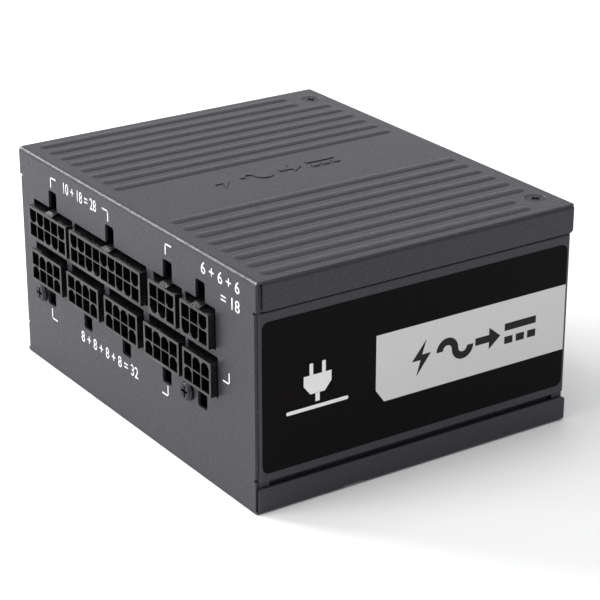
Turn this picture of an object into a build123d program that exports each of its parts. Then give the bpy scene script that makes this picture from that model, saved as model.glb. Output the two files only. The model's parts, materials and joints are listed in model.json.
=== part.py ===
"""Compact modular computer power supply, as an assembly of separate pieces.

Frame: millimetres, +Z up, origin under the middle of the case at the surface it stands on.
+X is the side with the large label, -Y is the connector face, +Y is the rear with the mains inlet.
"""

from build123d import *
import math
import os

os.makedirs("parts", exist_ok=True)

# Case
case_width = 125.0
case_depth = 100.0
panel_z = 63.1
rib_height = 0.4
sheet = 0.8
seam = 0.05

half_width = case_width / 2
front_y = -case_depth / 2
rear_y = case_depth / 2
face_back_y = front_y + sheet
rear_inner_y = rear_y - sheet

# Top cover
front_bend = 1.3
side_bend = 1.5
top_flange_bottom = 55.1
top_flange_front_y = -48.1
flange_corner = 1.0
face_half_top = 62.2
face_half = 61.5
face_bottom = sheet + seam
relief_depth = 0.55
relief_height = 0.8
relief_levels = (9.3, 54.8)

# Ribs on the top panel
rib_first = 15.3
rib_pitch = 6.06
ribs_per_side = 8
short_ribs = 2
rib_width = 3.9
rib_radius = (rib_width**2 / 4 + rib_height**2) / (2 * rib_height)
rib_front_y = -45.8
rib_rear_y = 46.4
short_rib_rear_y = 38.5
rib_root = 0.1
groove_width = 1.8

# Body wall
panel_half = 62.1
tuck_half = half_width - sheet - seam
wall_corner = 1.2
lip_reach = 7.0
wall_bottom = sheet + seam
wall_top = panel_z - sheet - seam
wall_front_y = face_back_y + seam
panel_top = top_flange_bottom - 0.35
panel_bottom = {1: 8.4, -1: 10.9}
joggle = 0.6
panel_rim = 0.5
top_ease = 0.7
bottom_ease = 0.45
lip_ease = 0.6
channel_depth = 1.0
channel_below = 1.3

# Fan cover
cover_bend = 1.2
cover_flange_front_y = -49.45
cover_flange_top = {1: 7.1, -1: 9.2}
edge_notch_front_y = -23.2
edge_notch_rear_y = -16.6
edge_notch_height = 1.1
edge_notch_slope = 1.0
pan_size = 96.0
pan_corner = 9.0
pan_floor_z = 2.6
pan_edge = 0.7

# Sockets
socket_front_y = -52.0
pin_pitch = 4.2
socket_wall = 0.6
socket_height = 9.6
cell_size = 3.82
cell_key = 1.05
cell_depth = 9.5
row_offset = 2.1
upper_row_z = 43.7
lower_row_z = 30.7
latch_width = 4.6
upper_latch_end = 55.2
lower_latch_end = 19.8
cutout_side = 0.35
cutout_above = 1.4
cutout_below = 0.3
pin_side = 1.0
pin_fit = 0.03
pin_front_y = -48.6

# name, x of the middle, columns, keyed columns of the upper and of the lower cells, x of its latch slot
upper_sockets = (
    ("socket_10_pin", -42.8, 5, (1, 2, 5), (3, 4), -42.6),
    ("socket_18_pin", -10.3, 9, (1, 2, 5, 6, 9), (3, 4, 7, 8), -10.1),
    ("socket_6_pin_left", 20.3, 3, (3,), (1, 2), 20.3),
    ("socket_6_pin_right", 36.4, 3, (3,), (1, 2), 36.5),
)
lower_sockets = (
    ("socket_8_pin_1", -44.6, 4, (2, 3), (1, 4), -45.6),
    ("socket_8_pin_2", -23.3, 4, (2, 3), (1, 4), -24.2),
    ("socket_8_pin_3", -2.0, 4, (2, 3), (1, 4), -2.6),
    ("socket_8_pin_4", 19.4, 4, (2, 3), (1, 4), 18.8),
    ("socket_6_pin_lower", 37.2, 3, (2, 3), (1,), 36.7),
)

# Connector board
board = 1.6
board_corner = 1.0
socket_board_y = -40.0
socket_board_back_y = socket_board_y + board
socket_board_bottom = 19.6
socket_board_top = 51.0
socket_board_left = -56.0
socket_board_right = 48.0
pin_back_y = socket_board_back_y + 1.2
panel_screws_at = ((-51.0, 22.2), (29.7, 22.2))

# Fan
fan_size = 92.0
fan_depth = 15.0
fan_corner = 5.0
fan_hole_spacing = 82.5
fan_hole_radius = 2.15
fan_bottom = pan_floor_z + sheet + seam
fan_top = fan_bottom + fan_depth
fan_bore = 44.6
opening_radius = 44.4
blade_tip = 43.4
blades = 9
hub_radius = 16.5
hub_wall = 1.4
hub_bottom = fan_bottom + 0.9
hub_top = fan_top - 2.8
motor_plate_radius = 15.0
motor_plate = 2.0
shaft_radius = 1.5
bearing_gap = 0.03
bearing_radius = 2.6
bearing_tube_radius = 3.6

# Mains inlet and switch, on the rear wall
inlet_x = 37.0
inlet_z = 34.0
inlet_width = 27.0
inlet_height = 20.0
inlet_flange_width = 31.0
inlet_flange_height = 24.0
inlet_flange = 1.2
inlet_depth = 20.0
inlet_corner = 5.0
cavity_width = 24.4
cavity_height = 16.6
cavity_depth = 17.0
switch_x = 9.0
switch_z = 34.0
switch_width = 13.0
switch_height = 19.2
switch_bezel = 1.0
switch_depth = 14.0
rocker_axle_y = 47.8
rocker_half_height = 7.6
rocker_width = 9.4
rocker_rest_deg = 9.0
rocker_axle_radius = 1.0
terminal_levels = (-6.0, 0.0, 6.0)
terminal_width = 4.8
terminal_thickness = 0.8
terminal_front_y = 40.8
terminal_length = 12.0

# Mounting holes of the rear wall
mount_spacing_x = 113.0
mount_spacing_z = 51.5
mount_z = 31.75
mount_hole_radius = 1.4
mount_boss_radius = 2.4
mount_boss_depth = 1.2

# Main board
main_board_bottom = 56.4
main_board_top = main_board_bottom + board
main_board_half_width = 58.0
main_board_front_y = -36.0
main_board_rear_y = 40.0
standoffs_at = ((-54.0, -32.0), (54.0, -32.0), (-54.0, 32.0), (54.0, 32.0))

# Rear vent
vent_pitch = 5.6
vent_hexagon = 2.35
vent_half_width = 56.0
vent_rows = 5
vent_columns = 10
vent_keep_inlet = (19.5, 16.0)
vent_keep_switch = (11.5, 14.5)
vent_keep_hole = 6.5
vent_keep_lug_x = 44.0
vent_keep_lug_z = (11.0, 52.0)

# Labels
label_thickness = 0.15
label_front_y = -48.2
label_rear_y = 48.6
label_bottom_z = {1: 10.9, -1: panel_bottom[-1] + 1.5}
label_top_z = 52.0
label_corner = 2.0

# Screws
m3_radius = 1.5
cross_length = 3.0
cross_width = 0.7
cross_depth = 1.6
case_screw_length = 6.0
panel_head_radius = 2.7
panel_head_height = 1.3
panel_head_crown = 0.78
panel_screw_length = 7.0
panel_standoff_radius = 2.6
fan_head_radius = 3.2
fan_head_height = 1.5
fan_screw_length = 8.5
board_head_radius = 2.8
board_head_height = 1.8
board_screw_length = 5.0
board_standoff_radius = 2.5
thread_gap = 0.05
top_screws_at = ((-53.2, 44.4), (53.2, 44.4))
cover_screws_at = ((-56.5, -44.0), (56.5, -44.0), (-56.5, 44.0), (56.5, 44.0))
sink_head_radius = 2.75
sink_radius = 2.95
head_drop = 0.1
lug_half = 5.0
lug_gap = 0.65

# Fan frame and blades
fan_flange = 3.6
fan_ring_wall = 1.3
fan_boss_wall = 1.4
arm_width = 4.2
arm_turn = 30.0
bearing_tube_gap = 1.2
bearing_lift = 0.2
shaft_end_gap = 0.5
blade_thickness = 1.3
blade_edge = 0.35
blade_camber = 0.10
blade_lift = 0.4
# radius, chord, pitch in degrees, lean in degrees
blade_root = (hub_radius - 1.2, 12.0, 42.0, 0.0)
blade_middle = ((hub_radius + blade_tip) / 2, 17.5, 32.0, 8.0)
blade_end = (blade_tip + 3.0, 22.5, 24.0, 18.0)
magnet_thickness = 1.4
magnet_end_gap = 1.0
air_gap = 0.5
stator_lift = 2.6
stator_height = 3.2
stator_rim = 1.6
stator_slot = (8.0, 2.4)
stator_arm = 3.0
stator_hub = 2.0
coil_middle = 8.4
coil_size = (4.2, 6.4)
coil_overhang = 1.6
sticker_inset = 2.2
sticker_thickness = 0.15

# Wire guard
wire_radius = 0.7
guard_rings = (9.0, 16.2, 23.4, 30.6, 37.8)
eye_radius = 3.9
eye_thickness = 0.8
spoke_stop = 3.4
weld_depth = 0.35

# Inlet and switch details
inlet_flange_corner = 1.6
inlet_rim = 0.5
contact_gap = 0.02
blade_size = (2.0, 4.0)
blade_offset = 7.0
blade_level = 2.0
blade_recess = 5.0
blade_tail = 6.0
blade_tip_ease = 0.5
hook_half = 3.0
hook_reach = 1.2
hook_length = 6.0
hook_root = 0.1
switch_corner = 1.0
switch_rim = 0.4
well_half_height = 8.6
well_half_width = 5.0
well_corner = 0.5
well_depth = 9.0
rocker_valley = (1.2, 1.9, 1.8)
rocker_rise = 2.9
rocker_back = (0.4, 2.6, 2.4, 3.6)
rocker_edge = 0.35
axle_reach = 0.6

# Parts under the main board: x, y, width, depth, height, corner
x_capacitor_box = (30.0, 8.0, 17.0, 8.5, 15.0, 0.6)
inrush_relay_box = (-6.0, 31.0, 15.0, 10.0, 14.0, 0.4)
bridge_rectifier_box = (30.0, -4.0, 20.0, 4.6, 18.0, 0.5)
standby_transformer_box = (20.0, -21.5, 12.0, 11.0, 14.0, 0.6)
# x, y, radius, height, size of the rolled groove
bulk_capacitor_at = (-39.0, 18.0)
bulk_capacitor_can = (15.0, 35.5, 3.2)
output_row = (-20.0, -31.0, 8.4, 6)
output_can = (3.6, 14.0, 1.6)
board_can_columns = (-40.0, -32.0, -24.0, -8.0, 0.0, 8.0)
board_can_z = 23.4
board_can = (3.1, 7.0, 1.4)
# x, y, outer radius, inner radius, depth, wire, gap between the windings in degrees
common_mode_choke = (48.0, 6.0, 7.6, 4.2, 7.0, 0.9, 50.0)
pfc_choke = (43.0, -19.0, 12.6, 7.0, 11.0, 1.3, 20.0)
fuse_at = (44.0, 26.0)
fuse_radius = 2.6
fuse_drop = 3.4
fuse_length = 20.0
fuse_clip = (1.0, 3.4, 3.2)
fuse_clip_reach = 7.5
disc_x = 53.2
disc_columns = (15.6, 20.4)
disc_radius = 3.8
disc_thickness = 2.6
disc_drop = 5.2
disc_lead = 0.4
disc_lead_half = 2.0
disc_lead_length = 4.2
transformer_at = (0.0, -4.0)
transformer_size = (30.0, 20.0, 27.0)
transformer_leg = 5.0
transformer_edge = 1.0
transformer_post = 6.5
transformer_winding_radius = 9.6
transformer_winding_length = 16.6
# x, y, width, fin depth, side of the fins, height, number of fins
primary_sink = (-8.0, 20.0, 22.0, 5.4, -1, 32.0, 7)
secondary_sink = (-4.0, -19.0, 28.0, 4.6, -1, 30.0, 9)
sink_base = 2.4
sink_fin = 1.1
transistor_columns = (-15.5, -3.5)
transistor_back_y = 21.2
transistor_body = (10.0, 4.4, 9.0)
transistor_body_drop = 13.0
transistor_tab = (10.0, 1.3, 6.0)
transistor_tab_drop = 20.4
transistor_hole = 1.8
transistor_lead = (0.9, 0.6, 8.6)
transistor_lead_pitch = 2.54
# place, size and height of each upright board
upright_boards = (((-40.0, -9.2), (32.0, 1.6), 28.0), ((-21.6, 2.0), (1.2, 15.0), 20.0))
bar_columns = (-45.0, -33.0, 33.0, 45.0)
bar_width = 8.0
bar_thickness = 1.0
bar_rear_y = -34.6
bar_z = 48.0
bar_bend = 1.4
film_bottom = 59.7
film_thickness = 0.3
film_hole = 3.1

# Leads
lead_radius = 1.3
fan_lead_radius = 1.1
lead_bend = 4.0
mains_lead_run = 5.2
switch_lead_runs = (4.4, 8.4)
fan_lead_start = (-11.0, -6.35)
fan_lead_turn = (-37.0, -21.4)
fan_lead_end = (-46.0, -26.5)
fan_lead_rise = 7.0

MIN_Z = (Align.CENTER, Align.CENTER, Align.MIN)
MAX_Z = (Align.CENTER, Align.CENTER, Align.MAX)


def at_depth(y):
    """Upright plane across the case at depth y: local x is X, local y is Z, extrusions go to -Y."""
    return Plane.XZ.offset(-y)


def write(piece, name):
    """Label a finished piece and write it."""
    piece.part.label = name
    export_step(piece.part, f"parts/{name}.step")


def facing(x, y, z, direction):
    """Plane at a point whose +Z is the direction a screw head faces."""
    return Plane(origin=(x, y, z), z_dir=direction)


def sunk_screw(places, length):
    """Flat countersunk screws with a cross recess, heads flush with the given planes."""
    head_height = sink_head_radius - m3_radius
    with BuildPart() as piece:
        with Locations(*places):
            Cone(m3_radius, sink_head_radius, head_height, align=MAX_Z)
            Cylinder(m3_radius, length, align=MAX_Z)
            Box(cross_length, cross_width, cross_depth, mode=Mode.SUBTRACT)
            Box(cross_width, cross_length, cross_depth, mode=Mode.SUBTRACT)
    return piece


def pan_screw(places, head_radius, head_height, shank_radius, length, crown=0.62):
    """Pan-head screws with a cross recess, the heads standing on the given planes."""
    rim = head_height * 0.45
    with BuildPart() as piece:
        with Locations(*places):
            Cylinder(head_radius, rim, align=MIN_Z)
            Cylinder(shank_radius, length, align=MAX_Z)
        with Locations(*[place.offset(rim) for place in places]):
            Cone(head_radius, head_radius * crown, head_height - rim, align=MIN_Z)
        with Locations(*[place.offset(head_height) for place in places]):
            Box(head_radius * 1.15, cross_width, cross_depth, mode=Mode.SUBTRACT)
            Box(cross_width, head_radius * 1.15, cross_depth, mode=Mode.SUBTRACT)
    return piece


def raised_bead(length):
    """Low rounded bead along +Y from the origin, with domed ends, rooted a little below the panel."""
    run = length - rib_width
    with BuildPart() as bead:
        with Locations((0, rib_width / 2, rib_height - rib_radius)):
            Cylinder(rib_radius, run, rotation=(-90, 0, 0), align=(Align.CENTER, Align.CENTER, Align.MIN))
            Sphere(rib_radius)
        with Locations((0, rib_width / 2 + run, rib_height - rib_radius)):
            Sphere(rib_radius)
        with Locations((0, length / 2, -rib_root)):
            Box(2 * rib_width, 2 * length, 1, align=MIN_Z, mode=Mode.INTERSECT)
    return bead


# ---------------------------------------------------------------- top cover
with BuildPart() as top_cover:
    with BuildSketch(at_depth(rear_y)):
        with BuildLine():
            FilletPolyline(
                (-half_width, top_flange_bottom),
                (-half_width, panel_z),
                (half_width, panel_z),
                (half_width, top_flange_bottom),
                radius=side_bend,
            )
            offset(amount=sheet, side=Side.RIGHT)
        make_face()
    extrude(amount=rear_y - top_flange_front_y)
    fillet(top_cover.edges().filter_by(Axis.X).group_by(Axis.Z)[0], flange_corner)
    with BuildSketch(Plane.YZ.offset(-face_half_top)):
        with BuildLine():
            FilletPolyline(
                (front_y, face_bottom),
                (front_y, panel_z),
                (rear_y, panel_z),
                radius=front_bend,
            )
            offset(amount=sheet, side=Side.RIGHT)
        make_face()
    extrude(amount=2 * face_half_top)
    for side in (-1, 1):
        trim = face_half_top - face_half
        with Locations((side * (face_half + trim / 2), front_y + sheet / 2, top_flange_bottom / 2)):
            Box(trim, 2 * sheet, top_flange_bottom, mode=Mode.SUBTRACT)
        for level in relief_levels:
            with Locations((side * (face_half - relief_depth / 2), front_y + sheet / 2, level)):
                Box(relief_depth, 2 * sheet, relief_height, mode=Mode.SUBTRACT)
    # raised beads, hollow underneath as pressed sheet is
    rib_ends = [rib_rear_y] * (ribs_per_side - short_ribs) + [short_rib_rear_y] * short_ribs
    beads = [
        (side * (rib_first + rib_pitch * index), rib_end)
        for side in (-1, 1)
        for index, rib_end in enumerate(rib_ends)
    ]
    for bead_x, bead_rear_y in beads:
        with Locations((bead_x, rib_front_y, panel_z)):
            add(raised_bead(bead_rear_y - rib_front_y).part)
    with BuildSketch(Plane.XY.offset(panel_z - sheet)):
        for bead_x, bead_rear_y in beads:
            with Locations((bead_x, (rib_front_y + bead_rear_y) / 2)):
                groove_length = bead_rear_y - rib_front_y - rib_width + groove_width
                SlotOverall(groove_length, groove_width, rotation=90)
    extrude(amount=rib_height, mode=Mode.SUBTRACT)
    # socket windows and latch slots in the connector face
    with BuildSketch(at_depth(face_back_y)):
        for row, row_z, latch_end in (
            (upper_sockets, upper_row_z, upper_latch_end),
            (lower_sockets, lower_row_z, lower_latch_end),
        ):
            window_height = socket_height + cutout_above + cutout_below
            window_z = row_z + (cutout_above - cutout_below) / 2
            for _, socket_x, columns, _, _, latch_x in row:
                with Locations((socket_x, window_z)):
                    Rectangle(pin_pitch * columns + 2 * socket_wall + 2 * cutout_side, window_height)
                with Locations((latch_x, (row_z + latch_end) / 2)):
                    RectangleRounded(latch_width, abs(latch_end - row_z), 0.8)
        with Locations(*panel_screws_at):
            Circle(m3_radius + 0.2)
    extrude(amount=sheet, mode=Mode.SUBTRACT)
    # formed dimples for the two countersunk screws
    with Locations(*[(x, y, panel_z - sheet) for x, y in top_screws_at]):
        Cylinder(sink_radius + 1.0, lug_gap, align=MAX_Z)
    with Locations(*[(x, y, panel_z) for x, y in top_screws_at]):
        Cylinder(m3_radius + thread_gap, 2 * sheet + lug_gap, align=MAX_Z, mode=Mode.SUBTRACT)
        sink_depth = sink_radius - m3_radius - thread_gap
        Cone(m3_radius + thread_gap, sink_radius, sink_depth, align=MAX_Z, mode=Mode.SUBTRACT)
write(top_cover, "top_cover")


# ---------------------------------------------------------------- body wall
def wall_ring(half, bottom, top, outer_radius):
    """One storey of the wall: both sides, the rear and the short lips behind the connector face."""
    with BuildSketch(Plane.XY.offset(bottom)) as ring:
        with BuildLine():
            FilletPolyline(
                (-half + lip_reach, wall_front_y),
                (-half, wall_front_y),
                (-half, rear_y),
                (half, rear_y),
                (half, wall_front_y),
                (half - lip_reach, wall_front_y),
                radius=outer_radius,
            )
            offset(amount=sheet, side=Side.RIGHT)
        make_face()
    extrude(ring.sketch, amount=top - bottom)


def pressed_panel(side):
    """Middle of one side, which stands out from the rest of the wall to the panel line."""
    with BuildPart() as panel:
        with BuildSketch(Plane.XY.offset(panel_bottom[side])):
            with BuildLine():
                FilletPolyline(
                    (side * (panel_half - lip_reach), wall_front_y),
                    (side * panel_half, wall_front_y),
                    (side * panel_half, rear_y),
                    (side * (panel_half - lip_reach), rear_y),
                    radius=wall_corner,
                )
                offset(amount=sheet, side=Side.LEFT if side > 0 else Side.RIGHT)
            make_face()
        extrude(amount=panel_top - panel_bottom[side])
        long_edges = panel.edges().filter_by(Axis.Y)
        fillet(long_edges.filter_by(lambda e: abs(abs(e.center().X) - panel_half) < 0.01), panel_rim)
    return panel


def rear_vent_cells():
    """Centres of the vent's hexagons, leaving out the inlet, the switch and the mounting holes."""
    rise = vent_pitch * math.sqrt(3) / 2
    cells = []
    for row in range(-vent_rows, vent_rows + 1):
        shift = vent_pitch / 2 if row % 2 else 0.0
        for column in range(-vent_columns, vent_columns + 1):
            x = column * vent_pitch + shift
            z = mount_z + row * rise
            by_inlet = abs(x - inlet_x) < vent_keep_inlet[0] and abs(z - inlet_z) < vent_keep_inlet[1]
            by_switch = abs(x - switch_x) < vent_keep_switch[0] and abs(z - switch_z) < vent_keep_switch[1]
            off_hole_x = abs(abs(x) - mount_spacing_x / 2)
            off_hole_z = abs(abs(z - mount_z) - mount_spacing_z / 2)
            by_hole = off_hole_x < vent_keep_hole and off_hole_z < vent_keep_hole
            by_lug = abs(x) > vent_keep_lug_x and not vent_keep_lug_z[0] < z < vent_keep_lug_z[1]
            if abs(x) < vent_half_width and not (by_inlet or by_switch or by_hole or by_lug):
                cells.append((x, z))
    return cells


mount_holes_at = [
    (sx * mount_spacing_x / 2, mount_z + sz * mount_spacing_z / 2) for sx in (-1, 1) for sz in (-1, 1)
]

with BuildPart() as body_wall:
    wall_ring(tuck_half, wall_bottom, wall_top, wall_corner)
    for side in (-1, 1):
        add(pressed_panel(side).part)
        inner_x = panel_half - sheet
        pocket = inner_x - (tuck_half - sheet)
        with Locations((side * (inner_x - pocket / 2), 0, (panel_top + panel_bottom[side]) / 2)):
            Box(
                pocket,
                case_depth - 2 * (wall_corner + sheet),
                panel_top - panel_bottom[side] - 2 * joggle,
                mode=Mode.SUBTRACT,
            )
    # long edges eased to clear the covers' inner bends
    for side in (-1, 1):
        for edge_z, toward, ease in ((wall_top, 1, top_ease), (wall_bottom, -1, bottom_ease)):
            with BuildSketch(at_depth(rear_y + 1)):
                with BuildLine():
                    Polyline(
                        (side * (tuck_half - ease), edge_z + toward * 0.1),
                        (side * (tuck_half + 0.1), edge_z + toward * 0.1),
                        (side * (tuck_half + 0.1), edge_z - toward * ease),
                        close=True,
                    )
                make_face()
            extrude(amount=case_depth + 2, mode=Mode.SUBTRACT)
        # channel under the middle panel, as deep as the seam over the cover's flange looks
        channel_top = panel_bottom[side]
        channel_bottom = cover_flange_top[side] - channel_below
        channel_middle = (channel_top + channel_bottom) / 2
        channel_half_length = rear_y - 2 * wall_corner - sheet
        with Locations((side * (tuck_half - (channel_depth + sheet) / 2), 0, channel_middle)):
            Box(channel_depth + sheet, 2 * channel_half_length, channel_top - channel_bottom + 2 * joggle)
        with Locations((side * (tuck_half - channel_depth / 2 + seam), 0, channel_middle)):
            Box(
                channel_depth + 2 * seam,
                2 * (channel_half_length - sheet),
                channel_top - channel_bottom,
                mode=Mode.SUBTRACT,
            )
    # front lips lowered to clear the bend of the top cover
    with Locations((0, wall_front_y + sheet / 2, wall_top)):
        Box(case_width, sheet + seam, 2 * lip_ease, mode=Mode.SUBTRACT)
    # threaded lugs for the cover screws
    for lug_places, lug_z in (
        (top_screws_at, panel_z - sheet - lug_gap - seam - sheet),
        (cover_screws_at, sheet + lug_gap + seam),
    ):
        for x, y in lug_places:
            side = math.copysign(1, x)
            inner = abs(x) - lug_half
            outer = tuck_half - sheet / 2
            with Locations((side * (inner + outer) / 2, y, lug_z + sheet / 2)):
                Box(outer - inner, 2 * lug_half - 2, sheet)
            with Locations((x, y, lug_z)):
                Cylinder(m3_radius + thread_gap, sheet, align=MIN_Z, mode=Mode.SUBTRACT)
    # rear wall: windows, vent and threaded mounting holes with pressed collars
    with Locations(*[facing(x, rear_inner_y, z, (0, -1, 0)) for x, z in mount_holes_at]):
        Cylinder(mount_boss_radius, mount_boss_depth, align=MIN_Z)
    with BuildSketch(at_depth(rear_y)):
        with Locations((inlet_x, inlet_z)):
            Rectangle(inlet_width + 0.3, inlet_height + 0.3)
        with Locations((switch_x, switch_z)):
            Rectangle(switch_width + 0.3, switch_height + 0.3)
        with Locations(*rear_vent_cells()):
            RegularPolygon(vent_hexagon, 6, major_radius=False, rotation=30)
        with Locations(*mount_holes_at):
            Circle(mount_hole_radius)
    extrude(amount=sheet + mount_boss_depth, mode=Mode.SUBTRACT)
write(body_wall, "body_wall")

# ---------------------------------------------------------------- fan cover
pan_half = pan_size / 2
with BuildPart() as fan_cover:
    with BuildSketch(at_depth(rear_y)):
        with BuildLine():
            FilletPolyline(
                (-half_width, cover_flange_top[-1]),
                (-half_width, 0),
                (half_width, 0),
                (half_width, cover_flange_top[1]),
                radius=cover_bend,
            )
            offset(amount=sheet, side=Side.LEFT)
        make_face()
    extrude(amount=rear_y - front_y)
    for side in (-1, 1):
        # flanges stop short of the connector face and have rounded corners
        flange_middle_z = (sheet + cover_flange_top[side]) / 2
        flange_height = cover_flange_top[side] - sheet
        with Locations((side * (half_width - sheet), (front_y + cover_flange_front_y) / 2, flange_middle_z)):
            Box(4 * sheet, cover_flange_front_y - front_y, flange_height, mode=Mode.SUBTRACT)
        edges_here = fan_cover.edges().filter_by(Axis.X).filter_by(lambda e: e.center().X * side > 0)
        corners = edges_here.filter_by(lambda e: abs(e.center().Z - cover_flange_top[side]) < 0.01)
        fillet(corners, flange_corner)
    # stamped notch in the edge under the large label
    with BuildSketch(Plane.YZ.offset(half_width - 2 * sheet)):
        with BuildLine():
            Polyline(
                (edge_notch_front_y - edge_notch_slope, -1),
                (edge_notch_front_y - edge_notch_slope, 0),
                (edge_notch_front_y, edge_notch_height),
                (edge_notch_rear_y, edge_notch_height),
                (edge_notch_rear_y + edge_notch_slope, 0),
                (edge_notch_rear_y + edge_notch_slope, -1),
                close=True,
            )
        make_face()
    extrude(amount=3 * sheet, mode=Mode.SUBTRACT)
    # pressed pan that holds the guard below the sheet's own level
    with BuildSketch(Plane.XY):
        RectangleRounded(pan_size + 2 * sheet, pan_size + 2 * sheet, pan_corner)
    extrude(amount=pan_floor_z + sheet)
    with BuildSketch(Plane.XY):
        RectangleRounded(pan_size, pan_size, pan_corner - sheet)
    extrude(amount=pan_floor_z, mode=Mode.SUBTRACT)
    level_edges = fan_cover.edges().filter_by(lambda e: abs(e.center().Z) < 0.01)
    inside_x = level_edges.filter_by(lambda e: max(abs(v.X) for v in e.vertices()) < pan_half + 0.1)
    fillet(inside_x.filter_by(lambda e: abs(e.center().Y) < pan_half + 0.1), pan_edge)
    with Locations((0, 0, pan_floor_z)):
        Cylinder(opening_radius, 2 * sheet, align=MIN_Z, mode=Mode.SUBTRACT)
    with Locations((0, 0, pan_floor_z)):
        with GridLocations(fan_hole_spacing, fan_hole_spacing, 2, 2):
            Cylinder(fan_hole_radius + 0.1, 2 * sheet, align=MIN_Z, mode=Mode.SUBTRACT)
    # formed dimples for its screws
    with Locations(*[(x, y, sheet) for x, y in cover_screws_at]):
        Cylinder(sink_radius + 1.0, lug_gap, align=MIN_Z)
    with Locations(*[facing(x, y, 0, (0, 0, -1)) for x, y in cover_screws_at]):
        Cylinder(m3_radius + thread_gap, 2 * sheet + lug_gap, align=MAX_Z, mode=Mode.SUBTRACT)
        sink_depth = sink_radius - m3_radius - thread_gap
        Cone(m3_radius + thread_gap, sink_radius, sink_depth, align=MAX_Z, mode=Mode.SUBTRACT)
write(fan_cover, "fan_cover")

# ---------------------------------------------------------------- case screws
top_head_z = panel_z - head_drop
top_screws = sunk_screw([facing(x, y, top_head_z, (0, 0, 1)) for x, y in top_screws_at], case_screw_length)
write(top_screws, "top_cover_screws")
cover_places = [facing(x, y, head_drop, (0, 0, -1)) for x, y in cover_screws_at]
fan_cover_screws = sunk_screw(cover_places, case_screw_length)
write(fan_cover_screws, "fan_cover_screws")
panel_screws = pan_screw(
    [facing(x, front_y, z, (0, -1, 0)) for x, z in panel_screws_at],
    panel_head_radius,
    panel_head_height,
    m3_radius,
    panel_screw_length,
    panel_head_crown,
)
write(panel_screws, "connector_panel_screws")
with BuildPart() as panel_standoffs:
    standoff_length = socket_board_y - face_back_y
    with Locations(*[facing(x, face_back_y, z, (0, 1, 0)) for x, z in panel_screws_at]):
        Cylinder(panel_standoff_radius, standoff_length, align=MIN_Z)
        Cylinder(m3_radius + thread_gap, standoff_length, align=MIN_Z, mode=Mode.SUBTRACT)
write(panel_standoffs, "panel_standoffs")

# ---------------------------------------------------------------- labels
for side, name in ((1, "side_label"), (-1, "rating_label")):
    label_height = label_top_z - label_bottom_z[side]
    with BuildPart() as label:
        with BuildSketch(Plane.YZ.offset(side * panel_half)):
            with Locations(((label_front_y + label_rear_y) / 2, label_top_z - label_height / 2)):
                RectangleRounded(label_rear_y - label_front_y, label_height, label_corner)
        extrude(amount=side * label_thickness)
    write(label, name)


# ---------------------------------------------------------------- sockets
def cell_outline(keyed, key_up):
    """Square cell, or the keyed one with two corners cut off at the bottom or the top."""
    half = cell_size / 2
    cut = cell_key if keyed else 0.001
    sign = 1 if key_up else -1
    with BuildLine() as outline:
        Polyline(
            (-half, -sign * half),
            (half, -sign * half),
            (half, sign * (half - cut)),
            (half - cut, sign * half),
            (-half + cut, sign * half),
            (-half, sign * (half - cut)),
            close=True,
        )
    make_face(outline.edges())


def socket_pins_at(socket_x, row_z, columns):
    """Middles of one socket's cells."""
    first = socket_x - pin_pitch * (columns - 1) / 2
    cell_columns = [first + pin_pitch * index for index in range(columns)]
    return [(x, row_z + level) for level in (row_offset, -row_offset) for x in cell_columns]


def build_socket(name, socket_x, row_z, columns, keyed_upper, keyed_lower, latch_x, upper):
    """One cable socket: a block with two rows of blind cells and a latch ramp."""
    outward = 1 if upper else -1
    with BuildPart() as socket:
        with BuildSketch(at_depth(socket_board_y)):
            with Locations((socket_x, row_z)):
                RectangleRounded(pin_pitch * columns + 2 * socket_wall, socket_height, 0.3)
        extrude(amount=socket_board_y - socket_front_y)
        for index, (cell_x, cell_z) in enumerate(socket_pins_at(socket_x, row_z, columns)):
            keyed = (keyed_upper if index < columns else keyed_lower)
            cell_back = (cell_x, socket_front_y + cell_depth, cell_z)
            with BuildSketch(Plane(origin=cell_back, x_dir=(1, 0, 0), z_dir=(0, -1, 0))):
                cell_outline(index % columns + 1 in keyed, not upper)
            extrude(amount=cell_depth, mode=Mode.SUBTRACT)
        with BuildSketch(at_depth(socket_board_y)):
            with Locations(*socket_pins_at(socket_x, row_z, columns)):
                Rectangle(pin_side + 2 * pin_fit, pin_side + 2 * pin_fit)
        extrude(amount=socket_board_y - socket_front_y, mode=Mode.SUBTRACT)
        surface_z = row_z + outward * socket_height / 2
        with BuildSketch(Plane.YZ.offset(latch_x - latch_width / 2 + 0.3)):
            with BuildLine():
                Polyline(
                    (socket_front_y + 0.2, surface_z - outward * 0.1),
                    (socket_front_y + 0.2, surface_z + outward * 0.05),
                    (socket_front_y + 3.4, surface_z + outward * 1.1),
                    (socket_front_y + 4.2, surface_z + outward * 1.1),
                    (socket_front_y + 4.2, surface_z - outward * 0.1),
                    close=True,
                )
            make_face()
        extrude(amount=latch_width - 0.6)
    write(socket, name)


all_sockets = [(entry, upper_row_z, True) for entry in upper_sockets]
all_sockets += [(entry, lower_row_z, False) for entry in lower_sockets]
pin_places = []
for (name, socket_x, columns, keyed_upper, keyed_lower, latch_x), row_z, upper in all_sockets:
    build_socket(name, socket_x, row_z, columns, keyed_upper, keyed_lower, latch_x, upper)
    pin_places += socket_pins_at(socket_x, row_z, columns)

with BuildPart() as socket_pins:
    with BuildSketch(at_depth(pin_back_y)):
        with Locations(*pin_places):
            Rectangle(pin_side, pin_side)
    extrude(amount=pin_back_y - pin_front_y)
write(socket_pins, "socket_pins")

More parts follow.
